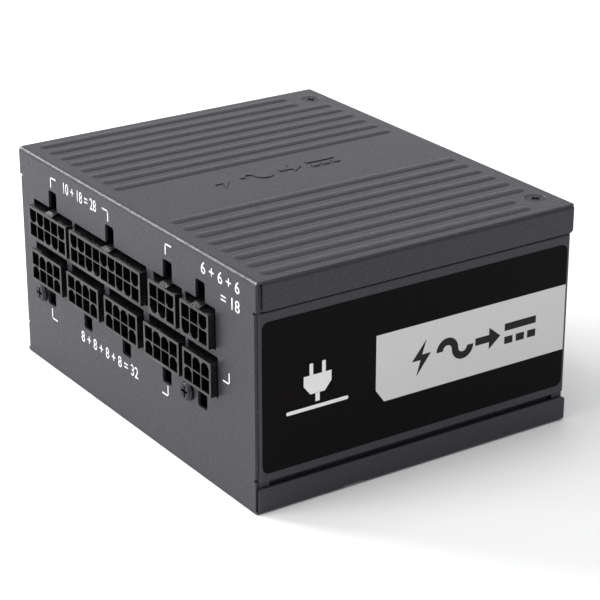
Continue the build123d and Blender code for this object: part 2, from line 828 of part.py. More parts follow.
with BuildPart() as connector_board:
    with BuildSketch(at_depth(socket_board_back_y)):
        socket_board_x = (socket_board_left + socket_board_right) / 2
        socket_board_z = (socket_board_bottom + socket_board_top) / 2
        socket_board_height = socket_board_top - socket_board_bottom
        with Locations((socket_board_x, socket_board_z)):
            RectangleRounded(socket_board_right - socket_board_left, socket_board_height, board_corner)
        with Locations(*pin_places):
            Rectangle(pin_side + 2 * pin_fit, pin_side + 2 * pin_fit, mode=Mode.SUBTRACT)
        with Locations(*panel_screws_at):
            Circle(m3_radius + thread_gap, mode=Mode.SUBTRACT)
    extrude(amount=board)
write(connector_board, "connector_board")

# ---------------------------------------------------------------- fan
plate_bottom = fan_top - motor_plate
with BuildPart() as fan_frame:
    with BuildSketch(Plane.XY.offset(fan_bottom)):
        RectangleRounded(fan_size, fan_size, fan_corner)
        Circle(fan_bore, mode=Mode.SUBTRACT)
        with GridLocations(fan_hole_spacing, fan_hole_spacing, 2, 2):
            Circle(fan_hole_radius, mode=Mode.SUBTRACT)
    extrude(amount=fan_depth)
    # waist between the two corner flanges, outside the ring
    with BuildSketch(Plane.XY.offset(fan_bottom + fan_flange)):
        Rectangle(fan_size + 2, fan_size + 2)
        Circle(fan_bore + fan_ring_wall, mode=Mode.SUBTRACT)
        with GridLocations(fan_hole_spacing, fan_hole_spacing, 2, 2):
            Circle(fan_hole_radius + fan_boss_wall, mode=Mode.SUBTRACT)
    extrude(amount=fan_depth - 2 * fan_flange, mode=Mode.SUBTRACT)
    # motor plate on four arms, and the bearing tube under it
    with BuildSketch(Plane.XY.offset(plate_bottom)):
        Circle(motor_plate_radius)
        with PolarLocations(0, 4, arm_turn):
            with Locations(((fan_bore + fan_ring_wall) / 2, 0)):
                Rectangle(fan_bore + fan_ring_wall - 1, arm_width)
    extrude(amount=motor_plate)
    tube_bottom = hub_bottom + hub_wall + bearing_tube_gap
    with BuildSketch(Plane.XY.offset(tube_bottom)):
        Circle(bearing_tube_radius)
        Circle(bearing_radius, mode=Mode.SUBTRACT)
    extrude(amount=plate_bottom - tube_bottom)
write(fan_frame, "fan_frame")

with BuildPart() as fan_bearing:
    with BuildSketch(Plane.XY.offset(tube_bottom + bearing_lift)):
        Circle(bearing_radius)
        Circle(shaft_radius + bearing_gap, mode=Mode.SUBTRACT)
    extrude(amount=plate_bottom - tube_bottom - bearing_lift)
write(fan_bearing, "fan_bearing")

with BuildPart() as fan_shaft:
    with BuildSketch(Plane.XY.offset(hub_bottom + hub_wall)):
        Circle(shaft_radius)
    extrude(amount=plate_bottom - hub_bottom - hub_wall - shaft_end_gap)
write(fan_shaft, "fan_shaft")


def blade_section(radius, chord, pitch_deg, lean_deg):
    """Cambered blade section at one radius, on a plane square to that radius."""
    lean = math.radians(lean_deg)
    outward = (math.cos(lean), math.sin(lean), 0)
    around = (-math.sin(lean), math.cos(lean), 0)
    plane = Plane(
        origin=(radius * outward[0], radius * outward[1], (hub_bottom + hub_top) / 2 + blade_lift),
        x_dir=around,
        z_dir=outward,
    )
    pitch = math.radians(pitch_deg)
    reach_x = chord / 2 * math.cos(pitch)
    reach_z = chord / 2 * math.sin(pitch)
    camber = chord * blade_camber
    lift = (-math.sin(pitch) * camber, math.cos(pitch) * camber)
    thick = (-math.sin(pitch) * blade_thickness, math.cos(pitch) * blade_thickness)
    with BuildSketch(plane) as section:
        with BuildLine():
            tail = (-reach_x, -reach_z)
            nose = (reach_x, reach_z)
            tail_up = (-reach_x + blade_edge * thick[0], -reach_z + blade_edge * thick[1])
            nose_up = (reach_x + blade_edge * thick[0], reach_z + blade_edge * thick[1])
            ThreePointArc(tail, lift, nose)
            Line(nose, nose_up)
            ThreePointArc(nose_up, (lift[0] + thick[0], lift[1] + thick[1]), tail_up)
            Line(tail_up, tail)
        make_face()
    return section


with BuildPart() as blade:
    loft([blade_section(*section).sketch.faces()[0] for section in (blade_root, blade_middle, blade_end)])
    with Locations((0, 0, fan_bottom)):
        Cylinder(blade_tip, fan_depth, align=MIN_Z, mode=Mode.INTERSECT)

with BuildPart() as fan_rotor:
    with BuildSketch(Plane.XY.offset(hub_bottom)):
        Circle(hub_radius)
    extrude(amount=hub_top - hub_bottom)
    fillet(fan_rotor.faces().sort_by(Axis.Z)[0].edges(), 1.2)
    with PolarLocations(0, blades):
        add(blade.part)
    with BuildSketch(Plane.XY.offset(hub_bottom + hub_wall)):
        Circle(hub_radius - hub_wall)
    extrude(amount=hub_top - hub_bottom, mode=Mode.SUBTRACT)
write(fan_rotor, "fan_rotor")

magnet_outer = hub_radius - hub_wall
magnet_inner = magnet_outer - magnet_thickness
with BuildPart() as rotor_magnet:
    with BuildSketch(Plane.XY.offset(hub_bottom + hub_wall)):
        Circle(magnet_outer)
        Circle(magnet_inner, mode=Mode.SUBTRACT)
    extrude(amount=hub_top - hub_bottom - hub_wall - magnet_end_gap)
write(rotor_magnet, "rotor_magnet")

stator_bottom = hub_bottom + hub_wall + stator_lift
pole_tip = magnet_inner - air_gap
with BuildPart() as stator_core:
    with BuildSketch(Plane.XY.offset(stator_bottom)):
        Circle(pole_tip)
        Circle(pole_tip - stator_rim, mode=Mode.SUBTRACT)
        with PolarLocations(0, 4, 45):
            with Locations((pole_tip, 0)):
                Rectangle(*stator_slot, mode=Mode.SUBTRACT)
        Circle(bearing_tube_radius + stator_hub)
        with PolarLocations(0, 4):
            with Locations((pole_tip / 2, 0)):
                Rectangle(pole_tip, stator_arm)
        Circle(bearing_tube_radius + pin_fit, mode=Mode.SUBTRACT)
    extrude(amount=stator_height)
write(stator_core, "stator_core")

with BuildPart() as stator_coils:
    for quarter in range(4):
        arm = Plane.XY.rotated((0, 0, 90 * quarter)).offset(stator_bottom + stator_height / 2)
        with Locations(arm.location * Location((coil_middle, 0, 0))):
            Box(*coil_size, stator_height + coil_overhang)
            Box(coil_size[0], stator_arm, stator_height, mode=Mode.SUBTRACT)
write(stator_coils, "stator_coils")

with BuildPart() as hub_sticker:
    with BuildSketch(Plane.XY.offset(hub_bottom)):
        Circle(hub_radius - sticker_inset)
    extrude(amount=-sticker_thickness)
write(hub_sticker, "fan_hub_sticker")

# wire guard: rings welded to two crossing wires that end in four screw eyes
ring_z = pan_floor_z - 3.0 * wire_radius + weld_depth
spoke_z = pan_floor_z - wire_radius - 2 * seam
eye_reach = fan_hole_spacing / 2 * math.sqrt(2)
with BuildPart() as fan_guard:
    with Locations((0, 0, ring_z)):
        for ring_radius in guard_rings:
            Torus(ring_radius, wire_radius)
    for quarter in range(4):
        arm = Plane.XY.rotated((0, 0, 45 + 90 * quarter)).offset(spoke_z)
        with Locations(arm.location * Location((0, 0, 0), (0, 90, 0))):
            Cylinder(wire_radius, eye_reach - spoke_stop, align=MIN_Z)
    with Locations((0, 0, spoke_z)):
        Sphere(wire_radius)
    with Locations((0, 0, pan_floor_z - seam - eye_thickness)):
        with GridLocations(fan_hole_spacing, fan_hole_spacing, 2, 2):
            Cylinder(eye_radius, eye_thickness, align=MIN_Z)
    with Locations((0, 0, pan_floor_z - 4)):
        with GridLocations(fan_hole_spacing, fan_hole_spacing, 2, 2):
            Cylinder(fan_hole_radius + 0.1, 8, align=MIN_Z, mode=Mode.SUBTRACT)
write(fan_guard, "fan_guard")

fan_screw_half = fan_hole_spacing / 2
fan_screws = pan_screw(
    [
        facing(sx * fan_screw_half, sy * fan_screw_half, pan_floor_z - seam - eye_thickness, (0, 0, -1))
        for sx in (-1, 1)
        for sy in (-1, 1)
    ],
    fan_head_radius,
    fan_head_height,
    fan_hole_radius - thread_gap,
    fan_screw_length,
)
write(fan_screws, "fan_screws")

# ---------------------------------------------------------------- mains inlet
with BuildPart() as mains_inlet:
    with BuildSketch(at_depth(rear_y + inlet_flange)):
        with Locations((inlet_x, inlet_z)):
            RectangleRounded(inlet_flange_width, inlet_flange_height, inlet_flange_corner)
    extrude(amount=inlet_flange - contact_gap)
    fillet(mains_inlet.faces().sort_by(Axis.Y)[-1].edges(), inlet_rim)
    with BuildSketch(at_depth(rear_y + contact_gap)):
        with Locations((inlet_x, inlet_z)):
            Rectangle(inlet_width, inlet_height)
    extrude(amount=inlet_depth)
    half_cavity = cavity_width / 2
    with BuildSketch(at_depth(rear_y + inlet_flange)):
        with BuildLine():
            Polyline(
                (inlet_x - half_cavity, inlet_z - cavity_height / 2),
                (inlet_x + half_cavity, inlet_z - cavity_height / 2),
                (inlet_x + half_cavity, inlet_z + cavity_height / 2 - inlet_corner),
                (inlet_x + half_cavity - inlet_corner, inlet_z + cavity_height / 2),
                (inlet_x - half_cavity + inlet_corner, inlet_z + cavity_height / 2),
                (inlet_x - half_cavity, inlet_z + cavity_height / 2 - inlet_corner),
                close=True,
            )
        make_face()
    extrude(amount=cavity_depth, mode=Mode.SUBTRACT)
    blade_places = [(inlet_x + side * blade_offset, inlet_z - blade_level) for side in (-1, 1)]
    blade_places.append((inlet_x, inlet_z + blade_level))
    with BuildSketch(at_depth(rear_y)):
        with Locations(*blade_places):
            Rectangle(*blade_size)
    extrude(amount=inlet_depth + 2, mode=Mode.SUBTRACT)
    # snap hooks behind the rear wall
    for side in (-1, 1):
        with BuildSketch(Plane.XY.offset(inlet_z - hook_half)):
            with BuildLine():
                Polyline(
                    (inlet_x + side * (inlet_width / 2 - hook_root), rear_inner_y - hook_root),
                    (inlet_x + side * (inlet_width / 2 + hook_reach), rear_inner_y - hook_root),
                    (inlet_x + side * (inlet_width / 2 - hook_root), rear_inner_y - hook_length),
                    close=True,
                )
            make_face()
        extrude(amount=2 * hook_half)
write(mains_inlet, "mains_inlet")

blade_front_y = rear_y + inlet_flange - blade_recess
blade_back_y = rear_y - inlet_depth - blade_tail
with BuildPart() as inlet_blades:
    with BuildSketch(at_depth(blade_front_y)):
        with Locations(*blade_places):
            Rectangle(blade_size[0] - 2 * pin_fit, blade_size[1] - 2 * pin_fit)
    extrude(amount=blade_front_y - blade_back_y)
    chamfer(inlet_blades.faces().filter_by(Axis.Y).group_by(Axis.Y)[-1].edges(), blade_tip_ease)
write(inlet_blades, "inlet_blades")

# ---------------------------------------------------------------- rocker switch
with BuildPart() as switch_housing:
    with BuildSketch(at_depth(rear_y + switch_bezel)):
        with Locations((switch_x, switch_z)):
            RectangleRounded(switch_width + 2 * switch_bezel, switch_height + 2 * switch_bezel, switch_corner)
    extrude(amount=switch_bezel - contact_gap)
    fillet(switch_housing.faces().sort_by(Axis.Y)[-1].edges(), switch_rim)
    with BuildSketch(at_depth(rear_y + contact_gap)):
        with Locations((switch_x, switch_z)):
            Rectangle(switch_width, switch_height)
    extrude(amount=switch_depth)
    with BuildSketch(at_depth(rear_y + switch_bezel)):
        with Locations((switch_x, switch_z)):
            RectangleRounded(2 * well_half_width, 2 * well_half_height, well_corner)
    extrude(amount=switch_bezel + well_depth, mode=Mode.SUBTRACT)
    # axle holes in both side walls
    with Locations(facing(switch_x, rocker_axle_y, switch_z, (1, 0, 0))):
        Cylinder(rocker_axle_radius + pin_fit, 2 * (well_half_width + axle_reach) + 0.4, mode=Mode.SUBTRACT)
    with BuildSketch(at_depth(rear_y)):
        with Locations(*[(switch_x, switch_z + dz) for dz in terminal_levels]):
            Rectangle(terminal_width, terminal_thickness)
    extrude(amount=switch_depth + 2, mode=Mode.SUBTRACT)
write(switch_housing, "switch_housing")

# the rocker rests tilted on one of its two stable sides
rest = math.radians(rocker_rest_deg)


def rocker_point(u, v):
    """Point of the rocker's profile, u up from the axle and v out of the wall, turned to its rest tilt."""
    return (
        rocker_axle_y + v * math.cos(rest) - u * math.sin(rest),
        switch_z + u * math.cos(rest) + v * math.sin(rest),
    )


valley_half, valley_edge, valley_floor = rocker_valley
rim_back, keel_half, keel_edge, keel_floor = rocker_back
with BuildPart() as rocker:
    with BuildSketch(Plane.YZ.offset(switch_x - rocker_width / 2)):
        with BuildLine():
            crest = [rocker_point(side * rocker_half_height, rocker_rise) for side in (-1, 1)]
            valley = [rocker_point(side * valley_half, valley_edge) for side in (-1, 1)]
            rim = [rocker_point(side * rocker_half_height, -rim_back) for side in (-1, 1)]
            keel = [rocker_point(side * keel_half, -keel_edge) for side in (-1, 1)]
            Line(crest[0], valley[0])
            ThreePointArc(valley[0], rocker_point(0, valley_floor), valley[1])
            Line(valley[1], crest[1])
            Line(crest[1], rim[1])
            Line(rim[1], keel[1])
            ThreePointArc(keel[1], rocker_point(0, -keel_floor), keel[0])
            Line(keel[0], rim[0])
            Line(rim[0], crest[0])
        make_face()
    extrude(amount=rocker_width)
    long_edges = rocker.edges().filter_by(lambda e: e.center().Y > rear_y - 0.2)
    fillet(long_edges, rocker_edge)
    with Locations(facing(switch_x, rocker_axle_y, switch_z, (1, 0, 0))):
        Cylinder(rocker_axle_radius, 2 * (well_half_width + axle_reach))
write(rocker, "rocker")

with BuildPart() as switch_terminals:
    with BuildSketch(at_depth(terminal_front_y)):
        with Locations(*[(switch_x, switch_z + dz) for dz in terminal_levels]):
            Rectangle(terminal_width - 2 * pin_fit, terminal_thickness - 2 * pin_fit)
    extrude(amount=terminal_length)
write(switch_terminals, "switch_terminals")

# ---------------------------------------------------------------- main board and what carries it
with BuildPart() as main_board:
    with BuildSketch(Plane.XY.offset(main_board_bottom)):
        with Locations((0, (main_board_front_y + main_board_rear_y) / 2)):
            RectangleRounded(2 * main_board_half_width, main_board_rear_y - main_board_front_y, board_corner)
        with Locations(*standoffs_at):
            Circle(m3_radius + 0.1, mode=Mode.SUBTRACT)
    extrude(amount=board)
write(main_board, "main_board")

standoff_top = panel_z - sheet
with BuildPart() as board_standoffs:
    with BuildSketch(Plane.XY.offset(main_board_top)):
        with Locations(*standoffs_at):
            RegularPolygon(board_standoff_radius, 6, major_radius=False)
    extrude(amount=standoff_top - main_board_top)
    with BuildSketch(Plane.XY.offset(main_board_top)):
        with Locations(*standoffs_at):
            Circle(m3_radius + thread_gap)
    extrude(amount=standoff_top - main_board_top, mode=Mode.SUBTRACT)
write(board_standoffs, "board_standoffs")

board_screws = pan_screw(
    [facing(x, y, main_board_bottom, (0, 0, -1)) for x, y in standoffs_at],
    board_head_radius,
    board_head_height,
    m3_radius,
    board_screw_length,
)
write(board_screws, "board_screws")

with BuildPart() as insulating_sheet:
    with BuildSketch(Plane.XY.offset(film_bottom)):
        with Locations((0, (main_board_front_y + main_board_rear_y) / 2)):
            board_width = 2 * main_board_half_width
            board_depth = main_board_rear_y - main_board_front_y
            RectangleRounded(board_width + board_corner, board_depth + board_corner, board_corner)
        with Locations(*standoffs_at):
            Circle(film_hole, mode=Mode.SUBTRACT)
    extrude(amount=film_thickness)
write(insulating_sheet, "insulating_sheet")


# ---------------------------------------------------------------- parts that hang under the main board
def hanging_box(name, x, y, width, depth, height, corner):
    """Rectangular component with softened edges, its flat base against the board."""
    with BuildPart() as component:
        with BuildSketch(Plane.XY.offset(main_board_bottom - height)):
            with Locations((x, y)):
                RectangleRounded(width, depth, corner)
        extrude(amount=height)
        fillet(component.faces().sort_by(Axis.Z)[0].edges(), corner * 0.8)
    write(component, name)


def cans(planes, radius, height, rolled):
    """Capacitor cans with a rolled groove near the base and a scored end, standing on the given planes."""
    with BuildPart() as group:
        with Locations(*planes):
            Cylinder(radius, height, align=MIN_Z)
        with Locations(*[plane.offset(rolled) for plane in planes]):
            Torus(radius + 0.25 * rolled, 0.4 * rolled, mode=Mode.SUBTRACT)
        with Locations(*[plane.offset(height) for plane in planes]):
            Box(radius * 1.5, 0.3, 0.6, mode=Mode.SUBTRACT)
            Box(0.3, radius * 1.5, 0.6, mode=Mode.SUBTRACT)
    return group


def under_board(x, y):
    """Plane on the underside of the main board, facing down."""
    return facing(x, y, main_board_bottom, (0, 0, -1))


def standing_choke(core_name, winding_name, x, y, outer, inner, depth, wire, gap_deg):
    """Ring core standing on edge under the board, with two windings that leave gaps top and bottom."""
    centre_z = main_board_bottom - outer - wire
    ring_plane = Plane(origin=(x, y, centre_z), x_dir=(0, 0, 1), z_dir=(0, 1, 0))
    with BuildPart() as core:
        with BuildSketch(ring_plane.offset(-depth / 2)):
            Circle(outer)
            Circle(inner, mode=Mode.SUBTRACT)
        extrude(amount=depth)
        fillet(core.edges().filter_by(GeomType.CIRCLE), min(0.8, depth / 5))
    write(core, core_name)
    turns_per_side = max(5, int((180 - gap_deg) * math.radians(1) * (inner - wire) / (2.2 * wire)))
    step = (180 - gap_deg) / turns_per_side
    with BuildPart() as winding:
        for side in (-1, 1):
            for turn in range(turns_per_side):
                angle = side * (gap_deg / 2 + step * (turn + 0.5))
                turn_at = Location((0, 0, 0), (0, 0, angle)) * Location(((outer + inner) / 2, 0, 0))
                with Locations(ring_plane.location * turn_at):
                    Box(outer - inner + 2 * wire, wire * 1.6, depth + 2 * wire)
        with BuildSketch(ring_plane.offset(-depth / 2)):
            Circle(outer + 0.02)
            Circle(inner - 0.02, mode=Mode.SUBTRACT)
        extrude(amount=depth, mode=Mode.SUBTRACT)
    write(winding, winding_name)


write(cans([under_board(*bulk_capacitor_at)], *bulk_capacitor_can), "bulk_capacitor")
hanging_box("x_capacitor", *x_capacitor_box)
hanging_box("inrush_relay", *inrush_relay_box)
hanging_box("bridge_rectifier", *bridge_rectifier_box)
hanging_box("standby_transformer", *standby_transformer_box)

first_x, row_y, can_pitch, can_count = output_row
row_places = [under_board(first_x + can_pitch * index, row_y) for index in range(can_count)]
main_board_cans = cans(row_places, *output_can)
connector_board_cans = cans(
    [facing(x, socket_board_back_y, board_can_z, (0, 1, 0)) for x in board_can_columns], *board_can
)
with BuildPart() as output_capacitors:
    add(main_board_cans.part)
    add(connector_board_cans.part)
write(output_capacitors, "output_capacitors")

standing_choke("common_mode_core", "common_mode_winding", *common_mode_choke)
standing_choke("pfc_choke_core", "pfc_choke_winding", *pfc_choke)

fuse_x, fuse_y = fuse_at
fuse_z = main_board_bottom - fuse_drop
fuse_clip_z = main_board_bottom - fuse_clip[2] / 2
with BuildPart() as fuse:
    with Locations(Location((fuse_x, fuse_y, fuse_z), (0, 90, 0))):
        Cylinder(fuse_radius, fuse_length)
    with Locations(*[(fuse_x + side * fuse_clip_reach, fuse_y, fuse_clip_z) for side in (-1, 1)]):
        Box(*fuse_clip)
write(fuse, "fuse")

with BuildPart() as disc_capacitors:
    for y in disc_columns:
        with Locations(Location((disc_x, y, main_board_bottom - disc_drop), (90, 0, 0))):
            Cylinder(disc_radius, disc_thickness)
        with Locations(*[(disc_x + side * disc_lead_half, y, main_board_bottom) for side in (-1, 1)]):
            Cylinder(disc_lead, disc_lead_length, align=MAX_Z)
write(disc_capacitors, "y_capacitors")

# transformer: two E-shaped core halves closed round a winding on a bobbin
core_width, core_depth, core_height = transformer_size
core_window_height = core_height - 2 * transformer_leg
transformer_centre = (*transformer_at, main_board_bottom - core_height / 2)
with BuildPart() as transformer_core:
    with Locations(transformer_centre):
        Box(core_width, core_depth, core_height)
        Box(core_width - 2 * transformer_leg, core_depth + 1, core_window_height, mode=Mode.SUBTRACT)
        Cylinder(transformer_post, core_window_height)
    upright_edges = transformer_core.edges().filter_by(Axis.Z).group_by(Axis.X)
    chamfer(upright_edges[0] + upright_edges[-1], transformer_edge)
write(transformer_core, "transformer_core")

with BuildPart() as transformer_winding:
    with Locations(transformer_centre):
        Cylinder(transformer_winding_radius, transformer_winding_length)
        Cylinder(transformer_post + 2 * seam, transformer_winding_length, mode=Mode.SUBTRACT)
write(transformer_winding, "transformer_winding")


def heatsink(name, x, y, width, fin_depth, fin_side, height, fins):
    """Upright extruded plate with a row of fins on one side."""
    fin_pitch = width / fins
    with BuildPart() as sink:
        with BuildSketch(Plane.XY.offset(main_board_bottom - height)):
            with Locations((x, y)):
                Rectangle(width, sink_base)
            for index in range(fins):
                fin_x = x - width / 2 + fin_pitch * (index + 0.5)
                with Locations((fin_x, y + fin_side * (sink_base + fin_depth) / 2)):
                    Rectangle(sink_fin, fin_depth + 4 * seam)
        extrude(amount=height)
    write(sink, name)


heatsink("primary_heatsink", *primary_sink)
heatsink("secondary_heatsink", *secondary_sink)

with BuildPart() as transistors:
    body_y = transistor_back_y + transistor_body[1] / 2
    tab_y = transistor_back_y + transistor_tab[1] / 2
    tab_z = main_board_bottom - transistor_tab_drop
    lead_steps = [step * transistor_lead_pitch for step in (-1, 0, 1)]
    for x in transistor_columns:
        with Locations((x, body_y, main_board_bottom - transistor_body_drop)):
            Box(*transistor_body)
        with Locations((x, tab_y, tab_z)):
            Box(*transistor_tab)
        with Locations(Location((x, transistor_back_y, tab_z), (90, 0, 0))):
            Cylinder(transistor_hole, transistor_body[1], mode=Mode.SUBTRACT)
        with Locations(*[(x + step, body_y, main_board_bottom) for step in lead_steps]):
            Box(*transistor_lead, align=MAX_Z)
write(transistors, "switching_transistors")

# upright boards soldered to the main board: converter and control
with BuildPart() as daughter_boards:
    for place, size, height in upright_boards:
        with Locations((*place, main_board_bottom)):
            Box(*size, height, align=MAX_Z)
write(daughter_boards, "daughter_boards")

# bus bars: from the main board down and forward on to the connector board
with BuildPart() as bus_bars:
    for x in bar_columns:
        with BuildSketch(Plane.YZ.offset(x - bar_width / 2)):
            with BuildLine():
                FilletPolyline(
                    (socket_board_back_y, bar_z),
                    (bar_rear_y, bar_z),
                    (bar_rear_y, main_board_bottom),
                    radius=bar_bend,
                )
                offset(amount=bar_thickness, side=Side.RIGHT)
            make_face()
        extrude(amount=bar_width)
write(bus_bars, "bus_bars")

# ---------------------------------------------------------------- leads inside the case
def lead_tube(routes, radius, bend):
    """Round leads along fixed routes, straight runs joined by tangent arcs."""
    with BuildPart() as leads:
        for route in routes:
            with BuildLine() as path:
                FilletPolyline(*route, radius=bend)
            with BuildSketch(Plane(origin=route[0], z_dir=Vector(*route[1]) - Vector(*route[0]))) as section:
                Circle(radius)
            sweep(section.sketch, path=path.wires()[0])
    return leads


blade_back = [(x, blade_back_y, z) for x, z in blade_places]
mains_routes = [
    [(x, y, z), (x, y - mains_lead_run, z), (x, y - mains_lead_run, main_board_bottom)]
    for x, y, z in blade_back
]
terminal_back_y = terminal_front_y - terminal_length
switch_routes = [
    [
        (switch_x, terminal_back_y, switch_z + level),
        (switch_x, terminal_back_y - run, switch_z + level),
        (switch_x, terminal_back_y - run, main_board_bottom),
    ]
    for level, run in zip((terminal_levels[2], terminal_levels[0]), switch_lead_runs)
]
write(lead_tube(mains_routes + switch_routes, lead_radius, lead_bend), "mains_leads")

fan_lead_level = fan_top + fan_lead_radius + seam
fan_route = [
    (*fan_lead_start, fan_lead_level),
    (*fan_lead_turn, fan_lead_level),
    (*fan_lead_end, fan_top + fan_lead_rise),
    (*fan_lead_end, main_board_bottom),
]
write(lead_tube([fan_route], fan_lead_radius, lead_bend), "fan_lead")
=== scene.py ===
"""Looks of a compact modular computer power supply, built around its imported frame.

Metres, +Z up, origin under the middle of the case. +X is the side with the large label, -Y is the
connector face and +Y is the rear with the mains inlet. Sizes in the fields below are millimetres
unless they say otherwise, because that is how such a case is drawn.
"""

import json
import logging
import math
from dataclasses import dataclass
from enum import Enum
from typing import Sequence

import bmesh
import bpy
from bmesh.types import BMesh, BMVert
from bpy.types import Material, Object
from bpy.types import NodeSocket as Socket
from mathutils import Matrix, Vector


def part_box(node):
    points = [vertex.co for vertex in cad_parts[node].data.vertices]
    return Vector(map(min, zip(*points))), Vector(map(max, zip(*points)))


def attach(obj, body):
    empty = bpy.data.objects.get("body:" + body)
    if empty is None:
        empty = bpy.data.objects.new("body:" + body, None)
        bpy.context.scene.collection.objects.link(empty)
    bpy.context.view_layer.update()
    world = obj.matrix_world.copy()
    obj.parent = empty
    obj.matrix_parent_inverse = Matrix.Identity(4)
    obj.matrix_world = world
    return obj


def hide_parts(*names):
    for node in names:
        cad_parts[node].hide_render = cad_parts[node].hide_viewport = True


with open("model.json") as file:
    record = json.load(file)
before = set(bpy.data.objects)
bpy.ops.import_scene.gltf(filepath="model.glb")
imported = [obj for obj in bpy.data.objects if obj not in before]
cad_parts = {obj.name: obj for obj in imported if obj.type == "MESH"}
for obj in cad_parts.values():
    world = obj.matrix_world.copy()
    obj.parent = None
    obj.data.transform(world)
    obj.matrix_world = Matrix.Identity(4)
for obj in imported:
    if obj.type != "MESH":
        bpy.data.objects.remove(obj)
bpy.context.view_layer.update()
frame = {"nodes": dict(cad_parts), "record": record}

LOG = logging.getLogger("power_supply")
MM = 0.001
Colour = tuple[float, float, float]
Point = tuple[float, float]


# ------------------------------------------------------------------------------- finishes
class Recipe:
    """Node tree of one finish: a Principled shader and the patterns that feed it."""

    def __init__(self, name: str) -> None:
        """Starts the material.

        Args:
            name: the finish in a maker's words.
        """
        self.material = bpy.data.materials.new(name)
        self.material.use_nodes = True
        self.tree = self.material.node_tree
        self.shader = self.tree.nodes["Principled BSDF"]
        self.place = self.tree.nodes.new("ShaderNodeTexCoord").outputs["Object"]

    def set(self, **values: object) -> None:
        """Sets the shader's own sockets, with underscores for the spaces in their names."""
        for key, value in values.items():
            self.shader.inputs[key.replace("_", " ")].default_value = value

    def join(self, source: Socket, target: Socket) -> None:
        """Links one socket to another."""
        self.tree.links.new(source, target)

    def stretched(self, scale: Sequence[float]) -> Socket:
        """Object coordinates stretched along the axes.

        Args:
            scale: factor along X, Y and Z.

        Returns:
            The socket with the coordinates.
        """
        mapping = self.tree.nodes.new("ShaderNodeMapping")
        mapping.inputs["Scale"].default_value = scale
        self.join(self.place, mapping.inputs["Vector"])
        return mapping.outputs["Vector"]

    def noise(self, size: float, detail: float = 2.0, stretch: Sequence[float] | None = None) -> Socket:
        """Soft random pattern.

        Args:
            size: size of its features in millimetres.
            detail: how many finer layers it has.
            stretch: factor along each axis, or None.

        Returns:
            The socket with the pattern's value.
        """
        node = self.tree.nodes.new("ShaderNodeTexNoise")
        node.inputs["Scale"].default_value = 1.0 / (size * MM)
        node.inputs["Detail"].default_value = detail
        self.join(self.stretched(stretch) if stretch else self.place, node.inputs["Vector"])
        return node.outputs["Fac"]

    def cells(self, size: float) -> Socket:
        """Pattern of round grains.

        Args:
            size: size of a grain in millimetres.

        Returns:
            The socket with the distance from the grain's middle.
        """
        node = self.tree.nodes.new("ShaderNodeTexVoronoi")
        node.inputs["Scale"].default_value = 1.0 / (size * MM)
        self.join(self.place, node.inputs["Vector"])
        return node.outputs["Distance"]

    def bands(self, size: float, axis: str) -> Socket:
        """Even stripes across one axis.

        Args:
            size: width of a stripe in millimetres.
            axis: X, Y or Z.

        Returns:
            The socket with the stripes' value.
        """
        node = self.tree.nodes.new("ShaderNodeTexWave")
        node.bands_direction = axis
        node.inputs["Scale"].default_value = 0.05 / (size * MM)
        self.join(self.place, node.inputs["Vector"])
        return node.outputs["Fac"]

    def tint(self, pattern: Socket, stops: Sequence[tuple[float, Colour]]) -> None:
        """Colours the surface by a pattern.

        Args:
            pattern: the value to read.
            stops: position and linear colour of each stop.
        """
        ramp = self.tree.nodes.new("ShaderNodeValToRGB")
        elements = ramp.color_ramp.elements
        while len(elements) < len(stops):
            elements.new(1.0)
        for element, (position, colour) in zip(elements, stops):
            element.position = position
            element.color = (*colour, 1.0)
        self.join(pattern, ramp.inputs["Fac"])
        self.join(ramp.outputs["Color"], self.shader.inputs["Base Color"])

    def polish(self, pattern: Socket, low: float, high: float) -> None:
        """Varies the roughness between two values by a pattern."""
        spread = self.tree.nodes.new("ShaderNodeMapRange")
        spread.inputs["From Min"].default_value = 0.3
        spread.inputs["From Max"].default_value = 0.7
        spread.inputs["To Min"].default_value = low
        spread.inputs["To Max"].default_value = high
        self.join(pattern, spread.inputs["Value"])
        self.join(spread.outputs["Result"], self.shader.inputs["Roughness"])

    def relief(self, *layers: tuple[Socket, float, float]) -> None:
        """Raises the surface by one or more patterns.

        Args:
            layers: for each, the pattern, its strength and its height in millimetres.
        """
        previous = None
        for pattern, strength, height in layers:
            bump = self.tree.nodes.new("ShaderNodeBump")
            bump.inputs["Strength"].default_value = strength
            bump.inputs["Distance"].default_value = height * MM
            self.join(pattern, bump.inputs["Height"])
            if previous is not None:
                self.join(previous, bump.inputs["Normal"])
            previous = bump.outputs["Normal"]
        self.join(previous, self.shader.inputs["Normal"])


def shaded(colour: Colour, factor: float) -> Colour:
    """A colour made darker or lighter by a factor."""
    return tuple(min(1.0, channel * factor) for channel in colour)


@dataclass(frozen=True)
class PowderCoat:
    """Fine textured powder coat on sheet steel."""

    name: str = "Graphite powder coat"
    colour: Colour = (0.026, 0.026, 0.033)
    fleck: float = 2.4
    grain: float = 0.60

    def make(self) -> Material:
        """Builds the material: orange-peel relief, pale flecks and uneven gloss."""
        recipe = Recipe(self.name)
        recipe.set(Specular_IOR_Level=0.35)
        recipe.tint(
            recipe.noise(0.40, 2.0),
            (
                (0.30, shaded(self.colour, 0.88)),
                (0.58, self.colour),
                (0.76, shaded(self.colour, self.fleck)),
            ),
        )
        recipe.polish(recipe.noise(0.6, 2.0), 0.36, 0.48)
        recipe.relief(
            (recipe.noise(self.grain, 3.0), 0.75, 0.12),
            (recipe.cells(0.34), 0.14, 0.03),
        )
        return recipe.material


